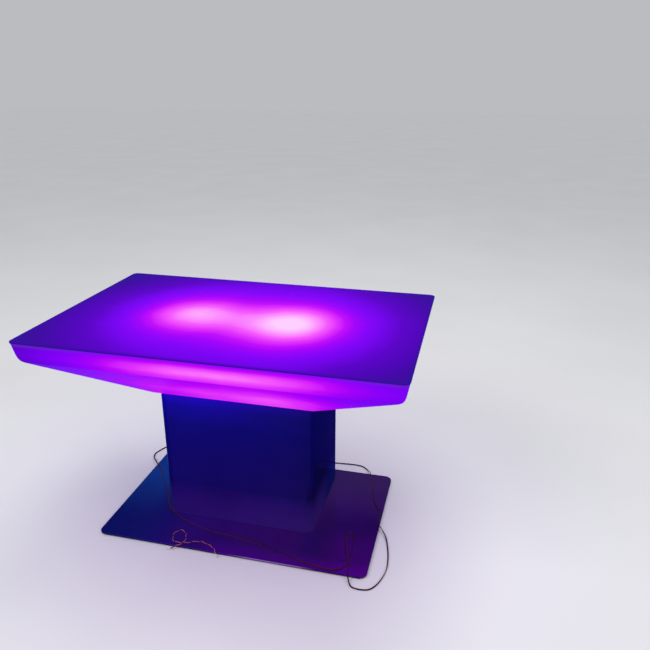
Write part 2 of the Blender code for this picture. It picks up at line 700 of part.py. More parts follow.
def make_column():
    """The folded sheet column with flanges turned in at its head and foot."""
    half_x, half_y = COLUMN_LENGTH / 2, COLUMN_DEPTH / 2
    outer = Ring(half_x, half_y, COLUMN_CORNER, COLUMN_FOOT, COLUMN_X, COLUMN_Y)
    inner = Ring(half_x - COLUMN_SHEET, half_y - COLUMN_SHEET, COLUMN_CORNER - COLUMN_SHEET,
                 COLUMN_FOOT + COLUMN_SHEET, COLUMN_X, COLUMN_Y)
    window = Ring(half_x - FLANGE_WIDTH, half_y - FLANGE_WIDTH, FLANGE_CORNER,
                  COLUMN_FOOT, COLUMN_X, COLUMN_Y)
    head = COLUMN_HEAD - COLUMN_SHEET
    rings = [outer, outer._replace(z=COLUMN_HEAD), window._replace(z=COLUMN_HEAD), window._replace(z=head),
             inner._replace(z=head), inner, window._replace(z=COLUMN_FOOT + COLUMN_SHEET), window]
    column = loft("column", rings, steel, through=True)
    wall = COLUMN_BACK - COLUMN_SHEET / 2
    through = COLUMN_SHEET + OVERRUN
    for x, y in column_bolt_places():
        for z in (COLUMN_FOOT + COLUMN_SHEET / 2, head + COLUMN_SHEET / 2):
            cut(column, cylinder("bolt hole", BOLT_HOLE, through, (x, y, z), steps=SMALL_STEPS))
    cut(column, cylinder("grommet hole", GROMMET_HOLE, through, (GROMMET_X, wall, GROMMET_Z), axis="Y"))
    slot = (SWITCH_BODY_WIDTH + 2 * SWITCH_CLEARANCE, through, SWITCH_BODY_LENGTH + 2 * SWITCH_CLEARANCE)
    cut(column, box("switch slot", slot, (SWITCH_X, wall, SWITCH_Z)))
    return smooth(settled(column))


def make_base():
    """The steel base plate on four rubber pads."""
    half_x, half_y = PLATE_LENGTH / 2, PLATE_DEPTH / 2
    full = Ring(half_x, half_y, PLATE_CORNER, PLATE_BOTTOM + PLATE_EASE, PLATE_X, PLATE_Y)
    eased = Ring(half_x - PLATE_EASE, half_y - PLATE_EASE, PLATE_CORNER - PLATE_EASE,
                 PLATE_BOTTOM, PLATE_X, PLATE_Y)
    rings = [eased, full, full._replace(z=PLATE_TOP - PLATE_EASE), eased._replace(z=PLATE_TOP)]
    plate = loft("base_plate", rings, plate_steel)
    through = PLATE_THICKNESS + OVERRUN
    for x, y in column_bolt_places():
        hole = (x, y, PLATE_BOTTOM + PLATE_THICKNESS / 2)
        cut(plate, cylinder("bolt hole", BOLT_RADIUS + GAP, through, hole, steps=SMALL_STEPS))
    smooth(settled(plate))
    profile = [(0.0, PAD_THICKNESS), (PAD_RADIUS - PAD_EASE, PAD_THICKNESS),
               (PAD_RADIUS, PAD_THICKNESS - PAD_EASE), (PAD_RADIUS, 0.0), (0.0, 0.0)]
    for depth, j in (("front", -1), ("back", 1)):
        for side, i in (("left", -1), ("right", 1)):
            spot = (PLATE_X + i * (half_x - PAD_INSET), PLATE_Y + j * (half_y - PAD_INSET), 0.0)
            turned(f"pad_{depth}_{side}", profile, rubber, spot)


def hexagon(name, across_flats, height, centre):
    return cylinder(name, across_flats / 2 / cos(pi / 6), height, centre, steps=6)


def make_bolt(name, shank, location):
    """A flanged hexagon bolt, its seat at its own origin."""
    length = shank + BOLT_FLANGE / 2
    bolt = cylinder(name, BOLT_RADIUS, length, (0.0, 0.0, length / 2 - shank), zinc, steps=SMALL_STEPS)
    washer = (0.0, 0.0, BOLT_FLANGE / 2)
    join(bolt, cylinder("washer", BOLT_FLANGE_RADIUS, BOLT_FLANGE, washer, steps=SMALL_STEPS))
    head = BOLT_HEAD - BOLT_FLANGE / 2
    join(bolt, hexagon("hexagon", HEX_ACROSS_FLATS, head, (0.0, 0.0, BOLT_FLANGE / 2 + head / 2)))
    settled(bolt)
    bolt.location = location
    return smooth(bolt)


def make_fasteners():
    """Bolts at the column's foot, bolts and nuts at its head, and the lamp tray's screws."""
    corners = ["front_left", "front_right", "back_left", "back_right"]
    foot_seat = COLUMN_FOOT + COLUMN_SHEET + GAP
    head_seat = HULL_FLOOR + GAP
    nut_top = COLUMN_HEAD - COLUMN_SHEET - GAP
    foot_length = foot_seat - PLATE_BOTTOM - FOOT_BOLT_SHORT
    head_length = head_seat - nut_top + NUT_HEIGHT + BOLT_TAIL
    foot_bolt = head_bolt = nut = None
    for corner, (x, y) in zip(corners, column_bolt_places()):
        if not nut:
            foot_bolt = make_bolt(f"foot_bolt_{corner}", foot_length, (x, y, foot_seat))
            head_bolt = make_bolt(f"head_bolt_{corner}", head_length, (x, y, head_seat))
            nut = hexagon(f"head_nut_{corner}", HEX_ACROSS_FLATS, NUT_HEIGHT, (0.0, 0.0, 0.0))
            nut.data.materials.append(zinc)
            hole_length = NUT_HEIGHT + OVERRUN
            cut(nut, cylinder("thread", BOLT_RADIUS + GAP, hole_length, (0.0, 0.0, 0.0), steps=SMALL_STEPS))
            smooth(settled(nut))
            nut.location = (x, y, nut_top - NUT_HEIGHT / 2)
        else:
            copy_of(foot_bolt, f"foot_bolt_{corner}", (x, y, foot_seat))
            copy_of(head_bolt, f"head_bolt_{corner}", (x, y, head_seat))
            copy_of(nut, f"head_nut_{corner}", (x, y, nut_top - NUT_HEIGHT / 2))
    head = [(0.0, SCREW_HEAD), (SCREW_HEAD_RADIUS / 2, SCREW_HEAD - SCREW_HEAD / 8)]
    profile = head + [(SCREW_HEAD_RADIUS, SCREW_HEAD / 2), (SCREW_HEAD_RADIUS, 0.0), (SCREW_RADIUS, 0.0),
                      (SCREW_RADIUS, -SCREW_LENGTH), (0.0, -SCREW_LENGTH - SCREW_RADIUS / 2)]
    for corner, (x, y) in zip(corners, tray_screw_places()):
        turned(f"tray_screw_{corner}", profile, zinc, (x, y, TRAY_TOP + GAP), steps=SMALL_STEPS)


def make_tray():
    """The sheet tray that carries the lamps and the controller, with an upturned rim."""
    half_x, half_y = TRAY_LENGTH / 2, TRAY_WIDTH / 2
    outer = Ring(half_x, half_y, TRAY_CORNER, TRAY_HEIGHT, TRAY_X, TRAY_Y)
    inner = Ring(half_x - TRAY_SHEET, half_y - TRAY_SHEET, TRAY_CORNER - TRAY_SHEET,
                 TRAY_TOP, TRAY_X, TRAY_Y)
    rim = TRAY_HEIGHT + TRAY_RIM
    tray = loft("lamp_tray", [outer, outer._replace(z=rim), inner._replace(z=rim), inner], aluminium)
    middle = TRAY_HEIGHT + TRAY_SHEET / 2
    through = TRAY_SHEET + OVERRUN
    for x, y in tray_screw_places():
        cut(tray, cylinder("screw hole", SCREW_HOLE, through, (x, y, middle), steps=SMALL_STEPS))
    cut(tray, cylinder("cable hole", TRAY_HOLE_RADIUS, through, (TRAY_X, TRAY_Y + TRAY_HOLE_Y, middle)))
    return smooth(settled(tray))


def make_lamp(side, x):
    """One lamp: a finned heat sink, a board with its chips, and a domed lens over them."""
    y, foot = TRAY_Y, TRAY_TOP + GAP
    profile = [(0.0, SINK_HEIGHT)]
    for fin in range(SINK_FINS):
        top = SINK_HEIGHT - fin * SINK_FIN_SPACING
        profile += [(SINK_RADIUS, top), (SINK_RADIUS, top - SINK_FIN)]
        profile += [(SINK_CORE_RADIUS, top - SINK_FIN), (SINK_CORE_RADIUS, top - SINK_FIN_SPACING)]
    profile += [(SINK_RADIUS, SINK_BASE), (SINK_RADIUS, 0.0), (0.0, 0.0)]
    turned(f"heat_sink_{side}", profile, aluminium, (x, y, foot))

    board_foot = foot + SINK_HEIGHT + GAP
    board_middle = (x, y, board_foot + BOARD_THICKNESS / 2)
    board = cylinder(f"led_board_{side}", BOARD_RADIUS, BOARD_THICKNESS, board_middle, white_plastic)
    chip = (CHIP_SIDE, CHIP_SIDE, CHIP_HEIGHT + CHIP_SINK)
    chip_z = board_foot + BOARD_THICKNESS - CHIP_SINK + chip[2] / 2
    join(board, box("chip", chip, (x, y, chip_z)))
    for i in range(CHIPS):
        angle = 2 * pi * i / CHIPS
        join(board, box("chip", chip, (x + CHIP_RING * cos(angle), y + CHIP_RING * sin(angle), chip_z)))
    smooth(settled(board))

    dome = (LENS_HEIGHT ** 2 + LENS_RADIUS ** 2) / (2 * LENS_HEIGHT)
    middle = LENS_HEIGHT - dome
    low = asin(-middle / dome) * 180 / pi
    inner = dome - LENS_WALL
    inner_low = asin(-middle / inner) * 180 / pi
    lens = arc(0.0, middle, dome, 90.0, low, DOME_STEPS)
    lens[0] = (0.0, LENS_HEIGHT)
    lens += [(LENS_RADIUS + LENS_RIM, 0.0), (LENS_RADIUS + LENS_RIM, -LENS_WALL)]
    inside = arc(0.0, middle, inner, inner_low, 90.0, DOME_STEPS)
    inside[-1] = (0.0, LENS_HEIGHT - LENS_WALL)
    lens += [(inside[0][0], -LENS_WALL)] + inside
    turned(f"lens_{side}", lens, lens_plastic, (x, y, foot + SINK_HEIGHT + GAP + LENS_WALL))


def make_controller():
    """The colour controller with its lid, the terminals for the lead, and the eye for the remote."""
    x, y, foot = TRAY_X, TRAY_Y + CONTROLLER_Y, TRAY_TOP + GAP
    box("controller_box", (CONTROLLER_LENGTH, CONTROLLER_WIDTH, CONTROLLER_HEIGHT),
        (x, y, foot + CONTROLLER_HEIGHT / 2), white_plastic, CONTROLLER_BEVEL)
    lid_foot = foot + CONTROLLER_HEIGHT + GAP
    lid = box("controller_lid", (CONTROLLER_LENGTH, CONTROLLER_WIDTH, LID_THICKNESS),
              (x, y, lid_foot + LID_THICKNESS / 2), black_plastic)
    for i in (-1, 1):
        for j in (-1, 1):
            spot = (x + i * (CONTROLLER_LENGTH / 2 - LID_SCREW_INSET),
                    y + j * (CONTROLLER_WIDTH / 2 - LID_SCREW_INSET), lid_foot + LID_THICKNESS)
            join(lid, cylinder("lid screw", SCREW_HEAD_RADIUS, SCREW_HEAD, spot, steps=SMALL_STEPS))
    smooth(settled(lid))

    block_y = y + CONTROLLER_WIDTH / 2 + TERMINAL_FROM_CONTROLLER + TERMINAL_WIDTH / 2
    block = box("terminal_block", (TERMINAL_LENGTH, TERMINAL_WIDTH, TERMINAL_HEIGHT),
                (x, block_y, foot + TERMINAL_HEIGHT / 2), green_plastic)
    depth = 2 * TERMINAL_HOLE_DEPTH
    for i in range(TERMINAL_HOLES):
        spot = (x + (i - (TERMINAL_HOLES - 1) / 2) * TERMINAL_PITCH, block_y, foot + TERMINAL_HEIGHT)
        cut(block, cylinder("terminal screw hole", TERMINAL_HOLE_RADIUS, depth, spot, steps=SMALL_STEPS))
    smooth(settled(block))

    eye_y = y - CONTROLLER_WIDTH / 2 - EYE_FROM_CONTROLLER - EYE_BLOCK / 2
    eye_middle = (x, eye_y, foot + EYE_HEIGHT / 2)
    eye = box("remote_eye", (EYE_BLOCK, EYE_BLOCK, EYE_HEIGHT), eye_middle, black_plastic)
    bm = bmesh.new()
    bmesh.ops.create_uvsphere(bm, u_segments=SMALL_STEPS, v_segments=DOME_STEPS, radius=EYE_RADIUS)
    join(eye, place("eye dome", mesh_from(bm, "eye dome"), None, (x, eye_y, foot + EYE_HEIGHT)))
    return smooth(settled(eye))


def make_lamp_wires():
    """Short wires from the controller's ends to the heat sinks."""
    y = TRAY_Y
    z = TRAY_TOP + LAMP_WIRE_HEIGHT
    for side, sign in (("left", -1), ("right", 1)):
        start = CONTROLLER_LENGTH / 2 + GAP
        end = LAMP_SPACING / 2 - SINK_RADIUS - GAP
        bow_start, bow_end = start + LAMP_WIRE_DIAMETER, end - LAMP_WIRE_DIAMETER
        points = [(TRAY_X + sign * start, y, z)]
        for i in range(LAMP_WIRE_POINTS):
            share = i / (LAMP_WIRE_POINTS - 1)
            bow = LAMP_WIRE_BOW * (1 - cos(2 * pi * share)) / 2
            points.append((TRAY_X + sign * (bow_start + (bow_end - bow_start) * share), y - bow, z))
        points.append((TRAY_X + sign * end, y, z))
        tube(f"lamp_wire_{side}", points, LAMP_WIRE_DIAMETER, black_plastic)


def make_switch():
    """The rocker switch that snaps into the column's back, and its tilted rocker."""
    face = COLUMN_BACK + GAP + BEZEL_THICKNESS
    body_depth = face - BEZEL_THICKNESS / 2 - SWITCH_BACK
    body_y = SWITCH_BACK + body_depth / 2
    body_size = (SWITCH_BODY_WIDTH, body_depth, SWITCH_BODY_LENGTH)
    body = box("switch_body", body_size, (SWITCH_X, body_y, SWITCH_Z), black_plastic)
    bezel_middle = (SWITCH_X, face - BEZEL_THICKNESS / 2, SWITCH_Z)
    bezel = box("bezel", (BEZEL_WIDTH, BEZEL_THICKNESS, BEZEL_LENGTH), bezel_middle, bevel=BEZEL_BEVEL)
    join(body, bezel)
    pocket_width = ROCKER_WIDTH + 2 * ROCKER_SIDE_CLEARANCE
    pocket_length = ROCKER_LENGTH + 2 * ROCKER_END_CLEARANCE
    pocket = (pocket_width, POCKET_DEPTH + OVERRUN, pocket_length)
    cut(body, box("rocker pocket", pocket, (SWITCH_X, face - POCKET_DEPTH + pocket[1] / 2, SWITCH_Z)))
    pivot_y = face - PIVOT_DEPTH
    bore_length = pocket_width + 2 * (PIVOT_REACH + PIVOT_CLEARANCE)
    cut(body, cylinder("pivot bore", PIVOT_RADIUS + PIVOT_CLEARANCE, bore_length,
                       (SWITCH_X, pivot_y, SWITCH_Z), axis="X", steps=ROUND_STEPS))
    for sign in (-1, 1):
        tab = (TAB_WIDTH, TAB_LENGTH + TAB_WIDTH, TAB_THICKNESS)
        spot = (SWITCH_X, TAB_TIP + tab[1] / 2, SWITCH_Z + sign * TAB_SPACING / 2)
        join(body, box("tab", tab, spot))
    smooth(settled(body))

    rise = ROCKER_CREST + ROCKER_LENGTH / 2 * tan(radians(ROCKER_TILT))
    half, heel = ROCKER_LENGTH / 2, ROCKER_HEEL_LENGTH / 2
    outline = [(rise, half), (-ROCKER_SKIRT, half), (-ROCKER_HEEL, heel), (-ROCKER_HEEL, -heel),
               (-ROCKER_SKIRT, -half), (rise, -half), (ROCKER_CREST, 0.0)]
    bm = bmesh.new()
    ends = [[bm.verts.new((i * ROCKER_WIDTH / 2, y, z)) for y, z in outline] for i in (-1, 1)]
    bm.faces.new(ends[0])
    bm.faces.new(ends[1][::-1])
    for i in range(len(outline)):
        after = (i + 1) % len(outline)
        bm.faces.new((ends[0][i], ends[1][i], ends[1][after], ends[0][after]))
    rocker = place("rocker", mesh_from(bm, "rocker"), red_plastic)
    pin = ROCKER_WIDTH + 2 * (ROCKER_SIDE_CLEARANCE + PIVOT_REACH)
    join(rocker, cylinder("pivot pin", PIVOT_RADIUS, pin, (0.0, 0.0, 0.0), axis="X", steps=SMALL_STEPS))
    smooth(settled(rocker))
    rocker.location = (SWITCH_X, pivot_y, SWITCH_Z)
    rocker.rotation_euler = (radians(ROCKER_TILT), 0.0, 0.0)


def make_grommet():
    """The rubber grommet in the column's back wall, which the supply lead passes through."""
    neck = GROMMET_HOLE - GAP
    half = COLUMN_SHEET / 2 + GAP
    above = [(LEAD_BORE, half + GROMMET_LIP), (neck, half + GROMMET_LIP),
             (GROMMET_FLANGE, half + GROMMET_LIP / 2), (GROMMET_FLANGE, half), (neck, half)]
    profile = above + [(radius, -height) for radius, height in reversed(above)]
    spot = (GROMMET_X, COLUMN_BACK - COLUMN_SHEET / 2, GROMMET_Z)
    return turned("cable_grommet", profile, rubber, spot, rotation=(pi / 2, 0.0, 0.0))


def make_clips():
    """Saddle clips that hold the lead against the inside of the column's back wall."""
    back = COLUMN_BACK - COLUMN_SHEET - GAP
    size = (CLIP_WIDTH, CLIP_DEPTH, CLIP_HEIGHT)
    for name, z in (("lead_clip_lower", CLIP_LOWER_Z), ("lead_clip_upper", CLIP_UPPER_Z)):
        clip = box(name, size, (RISER_X, back - CLIP_DEPTH / 2, z), white_plastic)
        bore = (RISER_X, RISER_Y, z)
        cut(clip, cylinder("lead bore", LEAD_BORE + GAP, CLIP_HEIGHT + OVERRUN, bore, steps=ROUND_STEPS))
        smooth(settled(clip))


def coil_points():
    """The coil's loops: in, up a layer in the half turn where the spiral reverses, and out again."""
    loops = 2 * COIL_TURNS
    points = []
    for i in range(loops * COIL_LOOP_POINTS + 1):
        turns = i / COIL_LOOP_POINTS
        radius = COIL_OUTER_RADIUS - COIL_PITCH * min(turns, loops - turns)
        half_turn = min(max(2 * (turns - COIL_TURNS) + 1 / 2, 0.0), 1.0)
        climb = (1 - cos(pi * half_turn)) / 2
        angle = -pi / 2 - 2 * pi * turns
        height = COIL_Z + COIL_LAYER * climb
        points.append((COIL_X + radius * cos(angle), COIL_Y + radius * sin(angle), height))
    first, last = points[0], points[-1]
    points.insert(0, (first[0] + LEAD_DIAMETER, first[1], first[2]))
    points.append((last[0] - LEAD_DIAMETER, last[1], last[2]))
    return points


def least_gap(points, skip):
    """The smallest clear distance between stretches of the coil that aren't neighbours along it."""
    here = np.array(points)
    nearest = min(np.linalg.norm(here[i + skip:] - here[i], axis=1).min() for i in range(len(here) - skip))
    return nearest - LEAD_DIAMETER


def make_coil():
    """The lead's spare length in a round coil on the floor behind the column, held by a tie."""
    points = coil_points()
    tube("lead_coil", points, LEAD_DIAMETER, lead_sheath, resolution=1)
    gap = least_gap(points, COIL_LOOP_POINTS // 2)
    print(f"lead_coil: {length_of(points):.3f} m long, least gap to itself {gap:.5f} m")
    span = COIL_PITCH * COIL_TURNS + LEAD_DIAMETER
    half_across = span / 2 + GAP
    half_up = (COIL_LAYER + LEAD_DIAMETER) / 2 + GAP
    middle_z = COIL_Z + COIL_LAYER / 2
    bm = bmesh.new()
    rings = []
    for grow, along in ((0.0, -1), (0.0, 1), (TIE_THICKNESS, 1), (TIE_THICKNESS, -1)):
        ring = Ring(half_across + grow, half_up + grow, TIE_CORNER + grow, along * TIE_WIDTH / 2, 0.0, 0.0)
        rings.append([bm.verts.new(point) for point in ring_points(ring)])
    for one, two in zip(rings, rings[1:] + rings[:1]):
        for i in range(len(one)):
            after = (i + 1) % len(one)
            bm.faces.new((one[i], one[after], two[after], two[i]))
    angle = radians(TIE_ANGLE)
    tie = place("coil_tie", mesh_from(bm, "coil_tie"), black_plastic)
    x, y = COIL_X + COIL_MIDDLE_RADIUS * cos(angle), COIL_Y + COIL_MIDDLE_RADIUS * sin(angle)
    tie.location = (x, y, middle_z)
    tie.rotation_euler = (pi / 2, 0.0, angle)
    return smooth(tie)


def make_adapter():
    """The plug-in power supply at the lead's end, with its two pins and its sleeve."""
    y = COIL_FRONT_Y
    middle = (ADAPTER_X, y, ADAPTER_HEIGHT / 2)
    housing = box("adapter_housing", (ADAPTER_LENGTH, ADAPTER_WIDTH, ADAPTER_HEIGHT), middle, black_plastic,
                  ADAPTER_BEVEL, segments=3)
    right, back = ADAPTER_X + ADAPTER_LENGTH / 2, y + ADAPTER_WIDTH / 2
    entry = (right, y, ADAPTER_LEAD_Z)
    hole = SLEEVE_BIG + GAP
    cut(housing, cylinder("sleeve bore", hole, 2 * SLEEVE_ENTRY, entry, axis="X", steps=ROUND_STEPS))
    pin_z = ADAPTER_HEIGHT / 2
    for side, sign in (("left", -1), ("right", 1)):
        x = ADAPTER_X + sign * PIN_SPACING / 2
        bore = (x, back, pin_z)
        cut(housing, cylinder("pin bore", PIN_RADIUS + GAP, 2 * PIN_ROOT, bore, axis="Y", steps=SMALL_STEPS))
        tip = arc(0.0, PIN_LENGTH - PIN_RADIUS, PIN_RADIUS, 90.0, 0.0, EASE_STEPS)
        tip[0] = (0.0, PIN_LENGTH)
        profile = tip + [(PIN_RADIUS, GAP - PIN_ROOT), (0.0, GAP - PIN_ROOT)]
        turned(f"adapter_pin_{side}", profile, nickel, bore, SMALL_STEPS, rotation=(-pi / 2, 0.0, 0.0))
    smooth(settled(housing))

    clear = SLEEVE_LENGTH - SLEEVE_ENTRY
    profile = [(LEAD_BORE, clear), (SLEEVE_SMALL, clear)]
    for i in range(SLEEVE_RIBS):
        share = (i + 1) / (SLEEVE_RIBS + 1)
        radius = SLEEVE_SMALL + (SLEEVE_BIG - SLEEVE_SMALL) * share
        height = clear * (1 - share)
        rib = clear / (SLEEVE_RIBS + 1) / 4
        profile += [(radius, height + rib), (radius - SLEEVE_RIB, height), (radius, height - rib)]
    profile += [(SLEEVE_BIG, 0.0), (SLEEVE_BIG, GAP - SLEEVE_ENTRY), (LEAD_BORE, GAP - SLEEVE_ENTRY)]
    turned("adapter_sleeve", profile, rubber, entry, SMALL_STEPS, rotation=(0.0, pi / 2, 0.0))

    start, low = COIL_X - LEAD_DIAMETER - GAP, COIL_Z + COIL_LAYER
    straight = right + clear + LEAD_DIAMETER
    points = [(right - SLEEVE_ENTRY + 2 * GAP, y, ADAPTER_LEAD_Z)]
    for step in range(TAIL_STEPS + 1):
        share = step / TAIL_STEPS
        height = low + (ADAPTER_LEAD_Z - low) * (1 + cos(pi * share)) / 2
        points.append((straight + (start - straight) * share, y, height))
    print(f"lead_tail: {length_of(points):.3f} m long")
    tube("lead_tail", points, LEAD_DIAMETER, lead_sheath)


def make_leads():
    """The supply lead's free run, the leads inside the column, and the twisted offcut on the plate."""
    corner = moved(LEAD_CORNER, COLUMN_LEFT, COLUMN_FRONT)
    route = moved(LEAD_LEAVES, y=COLUMN_BACK) + LEAD_LEFT + corner + LEAD_FRONT
    route += moved(LEAD_RETURNS, y=COLUMN_BACK)
    wall = COLUMN_BACK - COLUMN_SHEET / 2
    run_start = (GROMMET_X, wall + GAP / 2, GROMMET_Z)
    coil_start = (COIL_X + LEAD_DIAMETER + GAP, COIL_FRONT_Y, COIL_Z)
    routed("lead_run", [run_start] + route + [coil_start], LEAD_DIAMETER, lead_sheath, RUN_TOLERANCE)

    lower_tab = (SWITCH_X, TAB_TIP - GAP, SWITCH_Z - TAB_SPACING / 2)
    upper_tab = (SWITCH_X, TAB_TIP - GAP, SWITCH_Z + TAB_SPACING / 2)
    inside_start = (GROMMET_X, wall - GAP / 2, GROMMET_Z)
    to_switch = [inside_start] + moved(SWITCH_LEAD_ROUTE, y=COLUMN_BACK) + [lower_tab]
    routed("switch_lead", to_switch, LEAD_DIAMETER, lead_sheath)

    terminal = (TRAY_X, TERMINAL_BACK + GAP, TERMINAL_LEAD_Z)
    riser = [upper_tab] + moved(RISER_LEAVES, y=COLUMN_BACK)
    far, near = RISER_CLIP_APPROACH, RISER_CLIP_STRAIGHT
    for z in (CLIP_LOWER_Z - far, CLIP_LOWER_Z - near, CLIP_UPPER_Z + near, CLIP_UPPER_Z + far):
        riser.append((RISER_X, RISER_Y, z))
    hole_y = TRAY_Y + TRAY_HOLE_Y
    for (along_x, along_y), height in zip(RISER_SWEEP_SHARES, RISER_SWEEP_HEIGHTS):
        x = RISER_X + (TRAY_X - RISER_X) * along_x
        y = RISER_Y + (hole_y - RISER_Y) * along_y
        riser.append((x, y, COLLAR_Z + height))
    riser += moved(RISER_END, TRAY_X, TERMINAL_BACK, TERMINAL_LEAD_Z) + [terminal]
    routed("riser_lead", riser, LEAD_DIAMETER, lead_sheath)
    routed("wire_offcut", OFFCUT_ROUTE, OFFCUT_DIAMETER, offcut_sheath, OFFCUT_TOLERANCE)


make_base()
make_column()
make_hull()
make_panel()
make_tray()
for lamp_side, lamp_sign in (("left", -1), ("right", 1)):
    make_lamp(lamp_side, TRAY_X + lamp_sign * LAMP_SPACING / 2)
make_controller()
make_lamp_wires()
make_switch()
make_grommet()
make_clips()
make_fasteners()
make_leads()
make_coil()
make_adapter()
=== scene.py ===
"""Looks of the light-up table: the lit opal top on its steel column and plate, with its lead."""

import json
from math import cos, e, pi, radians, sin

import bmesh
import bpy
import numpy as np
from mathutils import Matrix, Vector
from mathutils.bvhtree import BVHTree

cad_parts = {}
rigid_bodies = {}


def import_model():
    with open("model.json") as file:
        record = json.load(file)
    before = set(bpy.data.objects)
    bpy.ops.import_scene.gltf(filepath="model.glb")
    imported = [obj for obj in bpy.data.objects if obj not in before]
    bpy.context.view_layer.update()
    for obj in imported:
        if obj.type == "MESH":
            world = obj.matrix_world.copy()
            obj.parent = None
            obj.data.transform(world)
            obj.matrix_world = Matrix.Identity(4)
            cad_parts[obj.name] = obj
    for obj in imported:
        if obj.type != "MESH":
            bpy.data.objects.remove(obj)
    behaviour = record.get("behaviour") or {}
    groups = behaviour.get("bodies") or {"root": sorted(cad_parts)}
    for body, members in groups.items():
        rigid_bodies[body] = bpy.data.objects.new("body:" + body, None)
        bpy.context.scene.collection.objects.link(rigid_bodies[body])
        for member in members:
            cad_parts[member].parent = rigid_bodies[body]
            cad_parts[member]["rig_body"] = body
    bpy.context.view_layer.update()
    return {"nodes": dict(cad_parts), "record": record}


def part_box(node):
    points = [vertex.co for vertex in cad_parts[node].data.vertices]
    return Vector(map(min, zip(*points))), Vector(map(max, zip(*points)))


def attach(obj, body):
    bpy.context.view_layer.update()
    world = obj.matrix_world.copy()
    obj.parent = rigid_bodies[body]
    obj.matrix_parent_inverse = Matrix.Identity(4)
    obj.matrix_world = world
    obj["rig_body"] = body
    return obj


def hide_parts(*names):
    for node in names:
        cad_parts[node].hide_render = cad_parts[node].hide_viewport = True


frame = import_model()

NODES = frame["nodes"]
RECORD_SLOT = {p["node"]: p["material_slot"] for p in frame["record"]["subparts"]}
CORNERS = ("back_left", "back_right", "front_left", "front_right")
UP = (0.0, 0.0, 1.0)


def middle(node):
    """The middle of a CAD node's box."""
    low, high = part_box(node)
    return (low + high) / 2


def half_size(node):
    """Half the size of a CAD node's box."""
    low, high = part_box(node)
    return (high - low) / 2


# The top, the column and what stands on the tray, from the frame
HALF_LENGTH, HALF_DEPTH, TOP_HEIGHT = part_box("top_panel")[1]
PANEL_THICK = 0.005
PANEL_LOW = TOP_HEIGHT - PANEL_THICK
COLUMN_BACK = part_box("column")[1].y
LAMP_LEFT_X, LAMP_Y, _ = middle("heat_sink_left")
LAMP_RIGHT_X = middle("heat_sink_right").x
LAMP_SPACING = LAMP_RIGHT_X - LAMP_LEFT_X
SINK_RADIUS = half_size("heat_sink_left").x
CONTROLLER_X, CONTROLLER_Y, _ = middle("controller_box")
CONTROLLER_HALF = half_size("controller_box")

# Camera
EYE = (0.7426, -1.8848, 1.4506)
FOCAL_PIXELS = 647.94
PICTURE_PIXELS = 650
SENSOR_MM = 36.0
YAW = -0.23967
PITCH = 0.36249
ROLL = 0.00111

# Supply lead
LEAD_DIAMETER = 0.0045
LEAD_EXIT = (-0.12, 0.229, 0.03)
LEAD_ROUTE = [
    (-0.12, 0.245, 0.0297), (-0.1203, 0.259, 0.026), (-0.1327, 0.2907, 0.0064),
    (-0.2139, 0.32, 0.0031), (-0.4326, 0.2969, 0.0028), (-0.4869, 0.2062, 0.0028),
    (-0.4815, 0.1768, 0.0044), (-0.4458, 0.1291, 0.0144), (-0.4028, 0.0837, 0.0123),
    (-0.2974, -0.0684, 0.013), (-0.2467, -0.1399, 0.0162), (-0.1633, -0.189, 0.016),
    (-0.0569, -0.2189, 0.0174), (0.0179, -0.2258, 0.0185), (0.1199, -0.2419, 0.016),
    (0.2002, -0.2625, 0.0125), (0.3734, -0.2993, 0.0118), (0.4135, -0.2697, 0.0118),
    (0.3892, -0.1439, 0.012), (0.3969, -0.1068, 0.012), (0.4069, -0.1087, 0.012),
    (0.4265, -0.2753, 0.0122), (0.4298, -0.3023, 0.0133), (0.4336, -0.3185, 0.0106),
    (0.4409, -0.3339, 0.005), (0.4511, -0.346, 0.0029), (0.5048, -0.3426, 0.0027),
    (0.5416, -0.2539, 0.0028), (0.5195, -0.1005, 0.0042), (0.5011, -0.0687, 0.01),
    (0.4859, -0.0454, 0.0124), (0.4748, 0.0247, 0.0118), (0.4485, 0.0799, 0.0118),
    (0.4175, 0.1952, 0.0118), (0.4009, 0.2597, 0.0126), (0.394, 0.2749, 0.0074),
    (0.382, 0.2938, 0.0031), (0.3551, 0.3122, 0.0026), (0.265, 0.3115, 0.0027),
    (0.13, 0.295, 0.0036),
]
COIL_X = 0.105
COIL_FRONT_Y = 0.295
COIL_OUTER_RADIUS = 0.0352
COIL_TURNS = 4
COIL_PITCH = 0.0051
COIL_LAYER = 0.0051
COIL_Z = 0.00365
COIL_LOOP_POINTS = 24
ADAPTER_RIGHT = 0.013
ADAPTER_LEAD_Z = 0.014
SLEEVE_CLEAR = 0.016
SLEEVE_ENTRY = 0.008
TAIL_STEPS = 6

